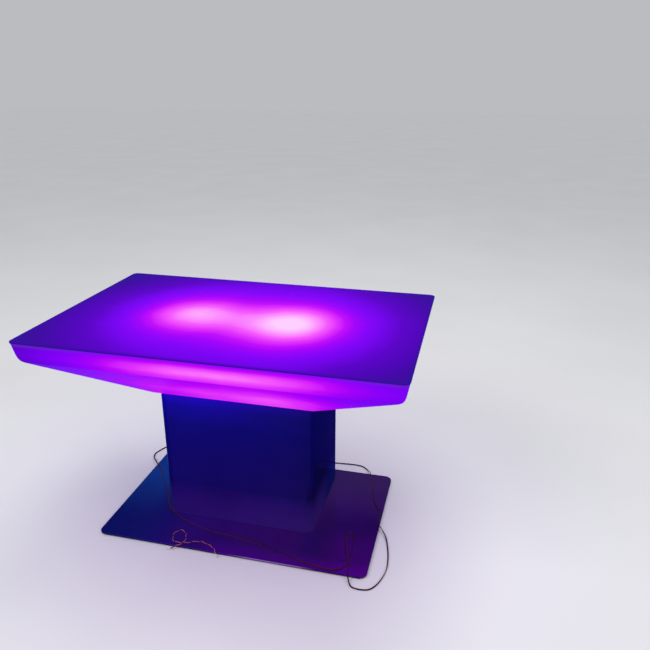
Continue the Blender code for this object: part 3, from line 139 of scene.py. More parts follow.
# Twisted offcut on the plate's front edge
OFFCUT_ROUTE = [
    (-0.176, -0.323, 0.003), (-0.166, -0.321, 0.0045), (-0.156, -0.317, 0.0085),
    (-0.146, -0.3105, 0.012), (-0.137, -0.302, 0.0122), (-0.131, -0.29, 0.0118),
    (-0.13, -0.276, 0.0118), (-0.134, -0.261, 0.0118), (-0.143, -0.246, 0.0118),
    (-0.156, -0.235, 0.0118), (-0.169, -0.235, 0.0118), (-0.1775, -0.245, 0.0118),
    (-0.1795, -0.259, 0.0118), (-0.176, -0.274, 0.0118), (-0.169, -0.287, 0.0124),
    (-0.157, -0.296, 0.0146), (-0.143, -0.2985, 0.0168), (-0.129, -0.2965, 0.0166),
    (-0.116, -0.29, 0.014), (-0.104, -0.2815, 0.012), (-0.09, -0.2755, 0.0118),
    (-0.074, -0.273, 0.0118), (-0.058, -0.2765, 0.0118), (-0.042, -0.2815, 0.0118),
    (-0.028, -0.289, 0.0118), (-0.017, -0.299, 0.0126), (-0.009, -0.309, 0.0118),
    (-0.003, -0.316, 0.0062), (0.003, -0.322, 0.003),
]
STRAND_RADIUS = 0.0011
STRAND_TWIST = 0.03
STRAND_SIDES = 10
BARE_TIP = 0.012
LEAD_TWIST = 0.6
LEAD_TURN = 3.1
LEAD_SIDE_BY_SIDE = (0.0, -0.223)
CORE_RADIUS = 0.0012
CORE_OFFSET = 0.00105

# Points per leg of a route, where a smooth curve follows it
RUN_STEPS = 10
COIL_STEPS = 2
TAIL_CURVE_STEPS = 4
OFFCUT_STEPS = 8


def srgb(red, green, blue):
    """A colour in linear light from its 0 to 255 values on a screen."""
    found = []
    for value in (red, green, blue):
        share = value / 255
        found.append(share / 12.92 if share <= 0.04045 else ((share + 0.055) / 1.055) ** 2.4)
    return (*found, 1.0)


def link(obj):
    """Puts the object in the scene and gives it back."""
    bpy.context.scene.collection.objects.link(obj)
    return obj


def make_camera():
    """The camera as solved from the photograph."""
    ahead = Vector((sin(YAW) * cos(PITCH), cos(YAW) * cos(PITCH), -sin(PITCH)))
    level = Vector((cos(YAW), -sin(YAW), 0.0))
    up = level.cross(ahead)
    right = cos(ROLL) * level + sin(ROLL) * up
    above = -sin(ROLL) * level + cos(ROLL) * up
    data = bpy.data.cameras.new("camera")
    data.sensor_width = SENSOR_MM
    data.lens = FOCAL_PIXELS / PICTURE_PIXELS * SENSOR_MM
    camera = link(bpy.data.objects.new("camera", data))
    turn = Matrix((right, above, -ahead)).transposed().to_4x4()
    camera.matrix_world = Matrix.Translation(EYE) @ turn
    bpy.context.scene.camera = camera


def curve_through(points, steps):
    """Points along one smooth curve that passes through the route's points."""
    route = np.array(points, float)
    route = np.vstack([2 * route[0] - route[1], route, 2 * route[-1] - route[-2]])
    found = []
    for p0, p1, p2, p3 in zip(route, route[1:], route[2:], route[3:]):
        legs = ((p0, p1), (p1, p2), (p2, p3))
        t1, t2, t3 = np.cumsum([np.linalg.norm(b - a) ** 0.5 for a, b in legs])
        for t in np.linspace(t1, t2, steps, endpoint=False):
            a1 = p0 + (p1 - p0) * t / t1
            a2 = p1 + (p2 - p1) * (t - t1) / (t2 - t1)
            a3 = p2 + (p3 - p2) * (t - t2) / (t3 - t2)
            b1 = a1 + (a2 - a1) * t / t2
            b2 = a2 + (a3 - a2) * (t - t1) / (t3 - t1)
            found.append(b1 + (b2 - b1) * (t - t1) / (t2 - t1))
    return np.vstack(found + [route[-2]])


def coil_points():
    """The spare length's loops: in, up a layer where the spiral reverses, and out again."""
    loops = 2 * COIL_TURNS
    points = []
    for i in range(loops * COIL_LOOP_POINTS + 1):
        turns = i / COIL_LOOP_POINTS
        radius = COIL_OUTER_RADIUS - COIL_PITCH * min(turns, loops - turns)
        half_turn = min(max(2 * (turns - COIL_TURNS) + 1 / 2, 0.0), 1.0)
        climb = (1 - cos(pi * half_turn)) / 2
        angle = -pi / 2 - 2 * pi * turns
        x, y = COIL_X + radius * cos(angle), COIL_FRONT_Y + COIL_OUTER_RADIUS + radius * sin(angle)
        points.append((x, y, COIL_Z + COIL_LAYER * climb))
    first, last = points[0], points[-1]
    points.insert(0, (first[0] + LEAD_DIAMETER, first[1], first[2]))
    points.append((last[0] - LEAD_DIAMETER, last[1], last[2]))
    return points


def tail_points():
    """From the coil up into the power supply's sleeve."""
    start = COIL_X - LEAD_DIAMETER
    low = COIL_Z + COIL_LAYER
    straight = ADAPTER_RIGHT + SLEEVE_CLEAR + LEAD_DIAMETER
    points = []
    for step in range(TAIL_STEPS + 1):
        share = step / TAIL_STEPS
        height = low + (ADAPTER_LEAD_Z - low) * (1 - cos(pi * share)) / 2
        points.append((start + (straight - start) * share, COIL_FRONT_Y, height))
    return points[1:] + [(ADAPTER_RIGHT - SLEEVE_ENTRY, COIL_FRONT_Y, ADAPTER_LEAD_Z)]


# Where each lamp's light seems to come from, and how strong it is
LIGHT_HEIGHT = 0.6
LAMPS = (((LAMP_LEFT_X, LAMP_Y, LIGHT_HEIGHT), 1.0), ((LAMP_RIGHT_X, LAMP_Y, LIGHT_HEIGHT), 1.1))

# Colours of the glow from dim to bright, as shares of full light
GLOW_STOPS = [
    (0.0, (46, 16, 148)), (0.1, (60, 7, 158)), (0.2, (74, 2, 178)), (0.32, (89, 0, 197)),
    (0.45, (115, 0, 235)), (0.55, (133, 0, 247)), (0.65, (161, 0, 248)), (0.73, (194, 10, 249)),
    (0.8, (224, 48, 250)), (0.87, (245, 89, 252)), (0.93, (252, 145, 253)), (1.0, (254, 208, 254)),
]
UNLIT_OPAL = (0.004, 0.0005, 0.015)

# Hills of light on the top: middle, half widths, height and, where it isn't round, how flat it is
HILLS = (
    ((0.03, -0.023), (0.649, 0.575), 0.624, 3.69),
    ((-0.174, -0.017), (0.196, 0.2), 0.438),
    ((0.191, -0.034), (0.205, 0.222), 0.509),
)
TOP_DIMMED = 0.13
BORDER_WIDTH = 0.016

# The rim's light from its lower to its upper edge, and the heights between which it lies
RIM_LOW, RIM_HIGH = 0.645, 0.715
RIM_LIGHT = (
    (0.0, 0.395), (0.143, 0.42), (0.257, 0.447), (0.414, 0.488), (0.557, 0.49), (0.671, 0.48),
    (0.829, 0.462), (0.957, 0.388), (1.0, 0.345),
)

# Steel: the column's painted light from the plate up, its painted light and shade from left to right, and the
# plate's painted light
COLUMN_PAINTED_LIGHT_TOP = 0.484
COLUMN_PAINTED_LIGHT_UP = [
    (0.0, (50, 20, 108)), (0.12, (47, 18, 107)), (0.21, (40, 14, 103)), (0.3, (19, 9, 84)),
    (0.6, (16, 8, 91)), (0.78, (13, 8, 97)), (0.92, (19, 8, 128)), (1.0, (29, 7, 166)),
]
COLUMN_PAINTED_LIGHT_ACROSS = [
    (0.0, (0.7, 2.4, 1.1, 1.0)), (0.06, (0.92, 1.1, 1.08, 1.0)), (0.5, (1.0, 1.0, 1.0, 1.0)),
    (0.9, (1.0, 1.1, 0.8, 1.0)), (1.0, (0.75, 1.05, 0.62, 1.0)),
]
PLATE_PAINTED_LIGHT_ALONG = [
    (0.0, (14, 18, 87)), (0.14, (21, 20, 92)), (0.22, (27, 15, 94)), (0.31, (40, 13, 96)),
    (0.48, (43, 11, 94)), (0.7, (47, 11, 92)), (1.0, (50, 8, 92)),
]
STEEL_CLOUDS = [(0.35, (0.9, 0.9, 0.92, 1.0)), (0.65, (1.08, 1.08, 1.06, 1.0))]
COLUMN_EMISSION = 0.62
PLATE_EMISSION = 0.8
BRUSHED = 260.0

# The lens from its middle to its rim
LENS_STOPS = [
    (0.0, (255, 232, 255)), (0.35, (255, 176, 254)), (0.7, (246, 112, 250)), (0.9, (196, 60, 236)),
    (1.0, (150, 30, 210)),
]


class Tree:
    """A material's nodes, built by short calls. Every call gives back an output socket."""

    def __init__(self, name):
        self.material = bpy.data.materials.new(name)
        self.material.use_nodes = True
        self.tree = self.material.node_tree
        self.shader = self.tree.nodes["Principled BSDF"]
        self.place = self.node("ShaderNodeTexCoord").outputs["Object"]

    def node(self, kind, **settings):
        made = self.tree.nodes.new(kind)
        for key, value in settings.items():
            setattr(made, key, value)
        return made

    def feed(self, socket, value):
        if isinstance(value, bpy.types.NodeSocket):
            self.tree.links.new(value, socket)
        elif isinstance(value, (tuple, list)) and len(value) == 3 and len(socket.default_value) == 4:
            socket.default_value = (*value, 1.0)
        else:
            socket.default_value = value

    def fill(self, made, **values):
        """Values or sockets for a node's inputs, with _ for a space."""
        for key, value in values.items():
            self.feed(made.inputs[key.replace("_", " ")], value)
        return made.outputs[0]

    def set(self, **values):
        self.fill(self.shader, **values)

    def math(self, operation, *values, kind="ShaderNodeMath", result=0):
        made = self.node(kind, operation=operation)
        for socket, value in zip(made.inputs, values):
            self.feed(socket, value)
        return made.outputs[result]

    def plus(self, value, *others):
        for other in others:
            value = self.math("ADD", value, other)
        return value

    def less(self, value, other):
        return self.math("SUBTRACT", value, other)

    def times(self, value, *others):
        for other in others:
            value = self.math("MULTIPLY", value, other)
        return value

    def axes(self, vector=None):
        """The three parts of a vector, or of the place on the object."""
        made = self.node("ShaderNodeSeparateXYZ")
        self.feed(made.inputs[0], vector or self.place)
        return made.outputs

    def scaled(self, x, y, z):
        """The place on the object, scaled along each axis."""
        return self.fill(self.node("ShaderNodeMapping"), Vector=self.place, Scale=(x, y, z))

    def noise(self, scale, detail=3.0, roughness=0.5, vector=None):
        made = self.node("ShaderNodeTexNoise")
        return self.fill(made, Vector=vector or self.place, Scale=scale, Detail=detail, Roughness=roughness)

    def range(self, value, low, high, to_low=0.0, to_high=1.0, smooth=False):
        made = self.node("ShaderNodeMapRange", interpolation_type="SMOOTHSTEP" if smooth else "LINEAR")
        return self.fill(made, Value=value, From_Min=low, From_Max=high, To_Min=to_low, To_Max=to_high)

    def fade(self, value, low, high, to_low=0.0, to_high=1.0):
        """Like range, with soft ends."""
        return self.range(value, low, high, to_low, to_high, smooth=True)

    def spread(self, noise, to_low=0.0, to_high=1.0):
        """A range over the middle of a noise, where most of it lies."""
        return self.range(noise, 0.3, 0.7, to_low, to_high)

    def ramp(self, value, stops, interpolation="LINEAR"):
        """A colour that follows the value. A stop's colour has 0 to 255 values, or else four linear ones."""
        made = self.node("ShaderNodeValToRGB")
        ramp = made.color_ramp
        ramp.interpolation = interpolation
        while len(ramp.elements) < len(stops):
            ramp.elements.new(1.0)
        for element, (place, colour) in zip(ramp.elements, stops):
            element.position = place
            element.color = colour if len(colour) == 4 else srgb(*colour)
        self.feed(made.inputs[0], value)
        return made.outputs[0]

    def mix(self, share, first, second, blend="MIX"):
        made = self.node("ShaderNodeMix", data_type="RGBA", blend_type=blend)
        colours = [s for s in made.inputs if s.type == "RGBA"]
        self.feed(made.inputs[0], share)
        self.feed(colours[0], first)
        self.feed(colours[1], second)
        return next(s for s in made.outputs if s.type == "RGBA")

    def tinted_or_lit(self, colour, tint, share=1.0):
        """The colour times a tint or a painted light, where the share says so."""
        return self.mix(share, colour, tint, "MULTIPLY")

    def bump(self, height, distance, strength=1.0, normal=None):
        made = self.node("ShaderNodeBump")
        if normal:
            self.feed(made.inputs["Normal"], normal)
        return self.fill(made, Height=height, Distance=distance, Strength=strength)


def hump(tree, value, peak, wide):
    """1 at the peak, falling smoothly to either side of it."""
    away = tree.math("DIVIDE", tree.less(value, peak), wide)
    return tree.math("EXPONENT", tree.times(away, away, -1.0))


def hill(tree, x, y, peak, wide, height=1.0, power=2.0):
    """A smooth hill over a level surface; the higher the power, the flatter its top."""
    dx = tree.math("DIVIDE", tree.less(x, peak[0]), wide[0])
    dy = tree.math("DIVIDE", tree.less(y, peak[1]), wide[1])
    square = tree.plus(tree.times(dx, dx), tree.times(dy, dy))
    falls = tree.times(tree.math("POWER", square, power / 2), -1.0)
    return tree.times(tree.math("EXPONENT", falls), height)


def lamp_light(tree):
    """The logarithm of the light that the two lamps bring to a place."""
    shares = []
    for lamp, strength in LAMPS:
        away = tree.math("DISTANCE", tree.place, lamp, kind="ShaderNodeVectorMath", result="Value")
        shares.append(tree.math("DIVIDE", strength, tree.times(away, away)))
    return tree.math("LOGARITHM", tree.plus(*shares), e)


def opal(name):
    """Moulded polyethylene: satin, with the fine grain of the mould."""
    tree = Tree(name)
    grain = tree.noise(900.0, 2.0, 0.6)
    waves = tree.noise(14.0, 2.0, 0.5)
    normal = tree.bump(waves, 0.0006, 0.25, tree.bump(grain, 0.00006, 0.5))
    tree.set(Roughness=tree.spread(tree.noise(60.0), 0.4, 0.5), Normal=normal)
    tree.set(Specular_IOR_Level=0.0015, Emission_Strength=1.0)
    return tree


def panel_material():
    """The lit top: a broad glow with two hot spots, dimmer along its border and on its edge."""
    tree = opal("opal_panel_lit")
    x, y, z = tree.axes()
    hills = [hill(tree, x, y, *settings) for settings in HILLS]
    from_end = tree.less(HALF_LENGTH, tree.math("ABSOLUTE", x))
    from_side = tree.less(HALF_DEPTH, tree.math("ABSOLUTE", y))
    border = tree.fade(tree.math("MINIMUM", from_end, from_side), 0.0, BORDER_WIDTH, -0.1, 0.0)
    edge = tree.fade(z, TOP_HEIGHT - 0.0018, TOP_HEIGHT - 0.0004, -0.5, 0.0)
    under = tree.range(z, PANEL_LOW, PANEL_LOW + 0.0003, 0.8, 0.0)
    cloud = tree.spread(tree.noise(7.0, 3.0, 0.55), -0.01, 0.01)
    wiped = tree.range(tree.noise(3.0, 5.0, 0.7, tree.scaled(1.0, 6.0, 1.0)), 0.6, 0.75, 0.0, -0.012)
    glow = tree.plus(*hills, -TOP_DIMMED, border, edge, under, cloud, wiped)
    tree.set(Base_Color=UNLIT_OPAL, Emission_Color=tree.ramp(glow, GLOW_STOPS))
    return tree.material


def rim_glow(tree, z, light):
    """The rim's light: what the lamps bring, held back towards the rim's edges."""
    low, brightest, high = 0.66, 0.68, 0.703
    below = tree.range(z, low, brightest, 2.75, 3.2)
    above = tree.range(z, brightest, high, 3.2, 2.32)
    held = tree.math("SMOOTH_MIN", light, tree.math("MINIMUM", below, above), 0.8)
    greys = [(stop, (value, value, value, 1.0)) for stop, value in RIM_LIGHT]
    up_the_rim = tree.ramp(tree.range(z, RIM_LOW, RIM_HIGH), greys, "EASE")
    return tree.plus(tree.less(tree.times(held, 0.44), 0.745), up_the_rim)


def underside_glow(tree, x, z, light):
    """The underside's light: brighter near the right lamp, dimmer low down and towards the right end."""
    held = tree.math("SMOOTH_MIN", light, 3.35, 0.5)
    glow = tree.plus(tree.times(held, 0.235), 0.035, tree.times(hump(tree, x, 0.18, 0.12), 0.042))
    from_middle = tree.math("ABSOLUTE", tree.less(x, 0.07))
    dimmer = tree.plus(tree.fade(from_middle, 0.12, 0.24, 0.0, 0.035), 0.038)
    glow = tree.less(glow, tree.times(tree.fade(z, 0.565, 0.505), dimmer))
    return tree.less(glow, tree.fade(x, 0.3, 0.42, 0.0, 0.028))


def hull_material():
    """The lit hull: its rim, its underside, and a painted highlight line along the rim's top under the panel,
    where the rim is dim.
    """
    tree = opal("opal_hull_lit")
    x, y, z = tree.axes()
    light = lamp_light(tree)
    on_rim = tree.fade(z, 0.643, 0.653)
    rim = tree.times(rim_glow(tree, z, light), on_rim)
    under = tree.times(underside_glow(tree, x, z, light), tree.less(1.0, on_rim))
    glow = tree.plus(rim, under, tree.spread(tree.noise(6.0, 3.0, 0.55), -0.02, 0.02))
    # painted highlight: a paler lilac line along the rim's top, under the panel, where the glow is dim
    painted_highlight_under_panel = tree.times(tree.fade(z, 0.698, 0.714, 0.0, 0.55), tree.range(glow, 0.65, 0.3))
    colour = tree.mix(painted_highlight_under_panel, tree.ramp(glow, GLOW_STOPS), srgb(122, 42, 196))
    tree.set(Base_Color=UNLIT_OPAL, Emission_Color=colour)
    return tree.material


def steel(tree, colour, mirrored, grain, emission):
    """Polished stainless sheet, with the glow round it painted into its colour, its reflections and its
    emission, less on faces that look down; mirrored is the share that it mirrors.
    """
    colour = tree.tinted_or_lit(colour, tree.ramp(tree.noise(5.0, 4.0, 0.6), STEEL_CLOUDS))
    rough = tree.range(tree.noise(9.0, 4.0, 0.6), 0.35, 0.7, 0.13, 0.25)
    lines = tree.times(tree.less(grain, 0.5), 0.08)
    upright = tree.axes(tree.node("ShaderNodeNewGeometry").outputs["Normal"])[2]
    # share of the painted glow: less of it on faces that look down
    own = tree.range(upright, -0.75, -0.35, 0.4, 1.0)
    tree.set(Base_Color=tree.tinted_or_lit(colour, mirrored), Emission_Color=tree.mix(own, (0.0, 0.0, 0.0), colour))
    tree.set(Roughness=tree.plus(rough, lines), Normal=tree.bump(grain, 0.00003, 0.2))
    # painted reflection: a violet tint on the steel's reflections
    tree.set(Emission_Strength=emission, Metallic=1.0, Specular_Tint=(0.1, 0.06, 0.34, 1.0))


def column_material():
    """The column's painted light: the plate's painted reflection low down and the hull's glow at its head,
    with painted light and shade at its right and a painted shadow at its foot.
    """
    tree = Tree("column_steel_painted_light")
    x, y, z = tree.axes()
    # painted light up the column: the plate's painted reflection low down, the hull's glow at its head
    colour = tree.ramp(tree.range(z, 0.0, COLUMN_PAINTED_LIGHT_TOP), COLUMN_PAINTED_LIGHT_UP)
    # painted light and shade across the column from left to right
    colour = tree.tinted_or_lit(colour, tree.ramp(tree.range(x, -0.26, 0.28), COLUMN_PAINTED_LIGHT_ACROSS))
    # painted shade high at the right, painted light low at the right
    right = tree.fade(x, -0.1, 0.22)
    high = tree.fade(z, 0.36, 0.45)
    colour = tree.tinted_or_lit(colour, (0.7, 1.05, 0.6), tree.times(high, right))
    low = tree.fade(z, 0.16, 0.1)
    colour = tree.tinted_or_lit(colour, (1.1, 1.3, 1.28), tree.times(low, right))
    # bluer painted shade low on the right face towards the rear
    rear = tree.times(tree.fade(x, 0.262, 0.273), tree.fade(y, -0.06, 0.1))
    colour = tree.tinted_or_lit(colour, (0.22, 0.85, 0.85), tree.times(low, rear))
    # painted shadow along the column's foot, where it meets the plate
    clear_of_painted_foot_shadow = tree.fade(z, 0.0095, 0.0125, 0.35, 1.0)
    colour = tree.mix(clear_of_painted_foot_shadow, srgb(8, 3, 40), colour)
    grain = tree.noise(3.0, 2.0, 0.6, tree.scaled(BRUSHED, BRUSHED, 3.0))
    steel(tree, colour, (0.85, 0.85, 0.85, 1.0), grain, COLUMN_EMISSION)
    return tree.material


def plate_material():
    """The plate's painted light: bluer at its left, greyer at its right rear and pinker along its front, with
    painted shade beside and before the column and on its side, and a painted glint on its front edge.
    """
    tree = Tree("plate_steel_painted_light")
    x, y, z = tree.axes()
    # painted light along the plate from left to right
    colour = tree.ramp(tree.range(x, -0.42, 0.45), PLATE_PAINTED_LIGHT_ALONG)
    # painted blue light at the left
    left = tree.times(tree.fade(y, -0.23, 0.12), tree.fade(x, -0.24, -0.35))
    colour = tree.mix(left, colour, srgb(20, 52, 120))
    # painted greyer light at the right rear
    painted_light_right_rear = tree.times(tree.fade(y, -0.08, 0.22), tree.fade(x, 0.2, 0.3))
    colour = tree.mix(painted_light_right_rear, colour, srgb(52, 32, 84))
    # painted shade on the plate beside the column, at its right
    painted_shade_beside_column = tree.times(hump(tree, y, -0.05, 0.09), tree.fade(x, 0.22, 0.32))
    colour = tree.tinted_or_lit(colour, (0.6, 1.2, 0.72), painted_shade_beside_column)
    # painted shade on the plate before the column
    painted_shade_before_column = hill(tree, x, y, (0.285, -0.19), (0.045, 0.08))
    colour = tree.tinted_or_lit(colour, (0.55, 1.05, 0.85), painted_shade_before_column)
    # painted pink glow along the front
    front = tree.times(tree.fade(y, -0.235, -0.295), tree.fade(x, -0.12, 0.02))
    colour = tree.tinted_or_lit(colour, (1.75, 0.8, 1.55), front)
    # painted shade on the plate's side face
    side = tree.range(z, 0.0078, 0.0062)
    colour = tree.mix(side, colour, srgb(14, 6, 58))
    glint = tree.times(tree.fade(x, 0.02, 0.12), tree.fade(x, 0.33, 0.25), tree.range(y, -0.302, -0.304))
    glint = tree.times(glint, tree.range(z, 0.005, 0.006), tree.range(z, 0.009, 0.0087))
    colour = tree.mix(glint, colour, srgb(132, 92, 172))
    mirrored = tree.mix(tree.range(z, 0.0088, 0.008), (0.58, 0.58, 0.58), (0.14, 0.14, 0.14))
    grain = tree.noise(3.0, 2.0, 0.6, tree.scaled(3.0, BRUSHED, BRUSHED))
    steel(tree, colour, mirrored, grain, PLATE_EMISSION)
    return tree.material


def plain(name, colour, rough, metallic=0.0, grain=900.0, relief=0.00004, spots=0.12, glow=None, specular=0.5,
          stretch=None, seam=None):
    """A moulded, drawn or plated finish: grain in its relief, and slow changes of tone and gloss."""
    tree = Tree(name)
    slow = tree.noise(35.0, 3.0, 0.6)
    darker = tuple(c * (1 - spots) for c in colour)
    lighter = tuple(min(c * (1 + spots), 1.0) for c in colour)
    tone = tree.mix(tree.spread(slow), darker, lighter)
    fine = tree.noise(grain, 3.0, 0.6, tree.scaled(*stretch) if stretch else None)
    normal = tree.bump(fine, relief, 0.6)
    if seam:
        axis, where, half = seam
        off = tree.math("ABSOLUTE", tree.less(tree.axes()[axis], where))
        groove = tree.fade(off, half / 2, half)
        tone = tree.mix(groove, tuple(c * 0.25 for c in colour), tone)
        normal = tree.bump(groove, half, 1.0, normal)
    gloss = tree.spread(slow, rough * 0.85, min(rough * 1.15, 1.0))
    tree.set(Base_Color=tone, Roughness=gloss, Normal=normal, Metallic=metallic, Specular_IOR_Level=specular)
    if glow:
        tree.set(Emission_Color=glow, Emission_Strength=1.0)
    return tree.material


def sheath(name, colour, rough, spots, specular):
    """A wire's soft insulation."""
    return plain(name, colour, rough, grain=700.0, relief=0.00003, spots=spots, specular=specular)


def lens_material():
    """Frosted lens with fine rings, bright over the lamp's chips."""
    tree = Tree("frosted_lens")
    x, y, z = tree.axes()
    aside = tree.less(tree.math("ABSOLUTE", tree.less(x, CONTROLLER_X)), LAMP_SPACING / 2)
    ahead = tree.less(y, LAMP_Y)
    away = tree.math("SQRT", tree.plus(tree.times(aside, aside), tree.times(ahead, ahead)))
    rings = tree.math("SINE", tree.times(away, 2800.0))
    frost = tree.noise(700.0, 2.0, 0.6)
    tree.set(Base_Color=tree.mix(frost, (0.8, 0.72, 0.86), (0.88, 0.82, 0.92)))
    tree.set(Roughness=tree.spread(frost, 0.22, 0.34))
    tree.set(Normal=tree.bump(rings, 0.00025, 0.7, tree.bump(frost, 0.00003, 0.4)))
    tree.set(Emission_Color=tree.ramp(tree.range(away, 0.0, 0.043), LENS_STOPS), Emission_Strength=1.0)
    return tree.material


MATERIALS = {
    "opal_panel": panel_material(),
    "opal_hull": hull_material(),
    "column_steel": column_material(),
    "plate_steel": plate_material(),
    "zinc": plain("zinc_plate", (0.55, 0.55, 0.52), 0.32, metallic=1.0, relief=0.00002),
    "aluminium": plain("mill_aluminium", (0.66, 0.67, 0.7), 0.36, metallic=1.0, grain=6.0, spots=0.05,
                       stretch=(1.0, BRUSHED, BRUSHED)),
    "rubber": plain("black_rubber", (0.018, 0.018, 0.02), 0.75, relief=0.00005),
    "black_plastic": plain("black_plastic", (0.022, 0.022, 0.026), 0.42, grain=1100.0, relief=0.00006),
    "red_plastic": plain("red_rocker", (0.36, 0.012, 0.012), 0.25, grain=1200.0, relief=0.00002),
    "white_plastic": plain("white_plastic", (0.78, 0.78, 0.8), 0.4, relief=0.00003, spots=0.05),
    "lens_plastic": lens_material(),
    "terminal_plastic": plain("terminal_green", (0.03, 0.26, 0.09), 0.38, grain=400.0),
    "lead_sheath": sheath("lead_dark_core", (0.014, 0.0004, 0.014), 0.5, 0.25, 0.1),
    "offcut_sheath": sheath("offcut_red", (0.065, 0.0015, 0.02), 0.45, 0.2, 0.2),
    "nickel": plain("nickel_plate", (0.66, 0.63, 0.58), 0.22, metallic=1.0, relief=0.00001),
}
LEAD_RED = sheath("lead_red_core", (0.07, 0.0015, 0.018), 0.5, 0.25, 0.15)
PINK = sheath("offcut_pink", (0.34, 0.085, 0.21), 0.45, 0.2, 0.2)
BARE_COPPER = plain("tinned_tips", (0.7, 0.66, 0.58), 0.34, metallic=1.0, relief=0.00005)
WIRE_RED = sheath("lamp_wire_red", (0.42, 0.012, 0.012), 0.42, 0.15, 0.3)
WIRE_BLACK = sheath("lamp_wire_black", (0.014, 0.014, 0.016), 0.42, 0.15, 0.3)
MARK_WHITE = plain("printed_mark", (0.74, 0.72, 0.7), 0.5, relief=0.00002, spots=0.06)
PILOT_GREEN = plain("pilot_light", (0.02, 0.2, 0.04), 0.2, grain=500.0, relief=0.00001, spots=0.05,
                    glow=(0.08, 0.75, 0.16))
MOULDED_CASE = plain("moulded_case", (0.02, 0.02, 0.023), 0.5, grain=1300.0, relief=0.00012, spots=0.1,
                     seam=(1, COIL_FRONT_Y, 0.0006))
DARK_GLASS = plain("receiver_glass", (0.03, 0.006, 0.012), 0.08, relief=0.00001, spots=0.1)


# How meshes are joined, softened and drawn
JOIN_WITHIN = 0.000004
FLAT_DEGREES = 0.5
SHARP_DEGREES = 35.0
BEVEL_SEGMENTS = 2
BARE_SHARE = 0.64
SCREW_SIDES = 32
RIDGE_SIDES = 6
SCREW_HEAD = ((1.0, 0.0), (1.0, 0.45), (0.93, 0.75), (0.8, 0.93), (0.64, 1.0))


def settle(obj, slot, *replaced, body="table"):
    """The piece rides its body and stands for these CAD nodes, which it hides; slot is not used."""
    if replaced:
        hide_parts(*replaced)
    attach(obj, body)
    return obj


def mesh_from(bm, name, *materials):
    """An object from the drawn mesh."""
    mesh = bpy.data.meshes.new(name)
    bm.to_mesh(mesh)
    bm.free()
    for material in materials:
        mesh.materials.append(material)
    return link(bpy.data.objects.new(name, mesh))


def dressed(node, bevel=0.0, material=None):
    """The CAD node's own form with joined facets, smooth rounds and, where asked, softened edges."""
    bm = bmesh.new()
    bm.from_mesh(NODES[node].data)
    bmesh.ops.remove_doubles(bm, verts=bm.verts, dist=JOIN_WITHIN)
    bmesh.ops.dissolve_limit(bm, angle_limit=radians(FLAT_DEGREES), verts=bm.verts, edges=bm.edges)
    slot = RECORD_SLOT[node]
    obj = mesh_from(bm, f"{node}_skin", material or MATERIALS[slot])
    obj.data.shade_smooth()
    obj.data.set_sharp_from_angle(angle=radians(SHARP_DEGREES))
    if bevel:
        soft = obj.modifiers.new("softened edges", "BEVEL")
        soft.width = bevel
        soft.segments = BEVEL_SEGMENTS
        soft.limit_method = "ANGLE"
        soft.angle_limit = radians(SHARP_DEGREES)
    even = obj.modifiers.new("even faces", "WEIGHTED_NORMAL")
    even.keep_sharp = not bevel
    return settle(obj, slot, node, body=NODES[node]["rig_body"])


def carried_along(line):
    """Each point's distance along the line, and two directions across it, carried on without a twist."""
    along = np.concatenate([[0], np.cumsum(np.linalg.norm(np.diff(line, axis=0), axis=1))])
    ahead = np.gradient(line, along, axis=0)
    ahead /= np.linalg.norm(ahead, axis=1)[:, None]
    side = np.cross(ahead[0], UP)
    side /= np.linalg.norm(side)
    across = []
    for direction in ahead:
        side = side - direction * (side @ direction)
        side /= np.linalg.norm(side)
        across.append((side, np.cross(direction, side)))
    return along, across


def circle(radius, count):
    """Points round a circle."""
    turns = (2 * pi * i / count for i in range(count))
    return [(radius * cos(turn), radius * sin(turn)) for turn in turns]


def strands(name, line, radius, offset, twist, materials, bare=0.0, start=0.0):
    """Two insulated strands that wind round the line, with bare tips where asked."""
    along, across = carried_along(line)
    bm = bmesh.new()
    for strand in (0, 1):
        rings = []
        for place, distance, (side, up) in zip(line, along, across):
            turn = start + 2 * pi * distance / twist + strand * pi
            centre = place + offset * (cos(turn) * side + sin(turn) * up)
            end = min(distance, along[-1] - distance)
            ring = circle(radius if end >= bare else radius * BARE_SHARE, STRAND_SIDES)
            rings.append([bm.verts.new(centre + (x * side + y * up)) for x, y in ring])
        for k, (one, two) in enumerate(zip(rings, rings[1:])):
            end = min(along[k], along[-1] - along[k + 1])
            for i in range(STRAND_SIDES):
                after = (i + 1) % STRAND_SIDES
                face = bm.faces.new((one[i], one[after], two[after], two[i]))
                face.material_index = len(materials) - 1 if end < bare else strand
                face.smooth = True
        for cap in (rings[0][::-1], rings[-1]):
            bm.faces.new(cap).material_index = len(materials) - 1
    bmesh.ops.recalc_face_normals(bm, faces=bm.faces)
    return mesh_from(bm, name, *materials)


def piece(name, bm, slot, *replaced, material=None, body="table"):
    """A piece of the scene's own, from its mesh."""
    bmesh.ops.recalc_face_normals(bm, faces=bm.faces)
    obj = mesh_from(bm, name, material or MATERIALS[slot])
    obj.data.shade_smooth()
    obj.data.set_sharp_from_angle(angle=radians(SHARP_DEGREES))
    return settle(obj, slot, *replaced, body=body)


def facing(place, direction):
    """Axes at a place, of which Z points along the direction."""
    return Matrix.Translation(place) @ Vector(direction).to_track_quat("Z", "Y").to_matrix().to_4x4()


def outline_at(bm, axes, points, height):
    """New corners of an outline, at a height along the axes' Z."""
    return [bm.verts.new(axes @ Vector((x, y, height))) for x, y in points]


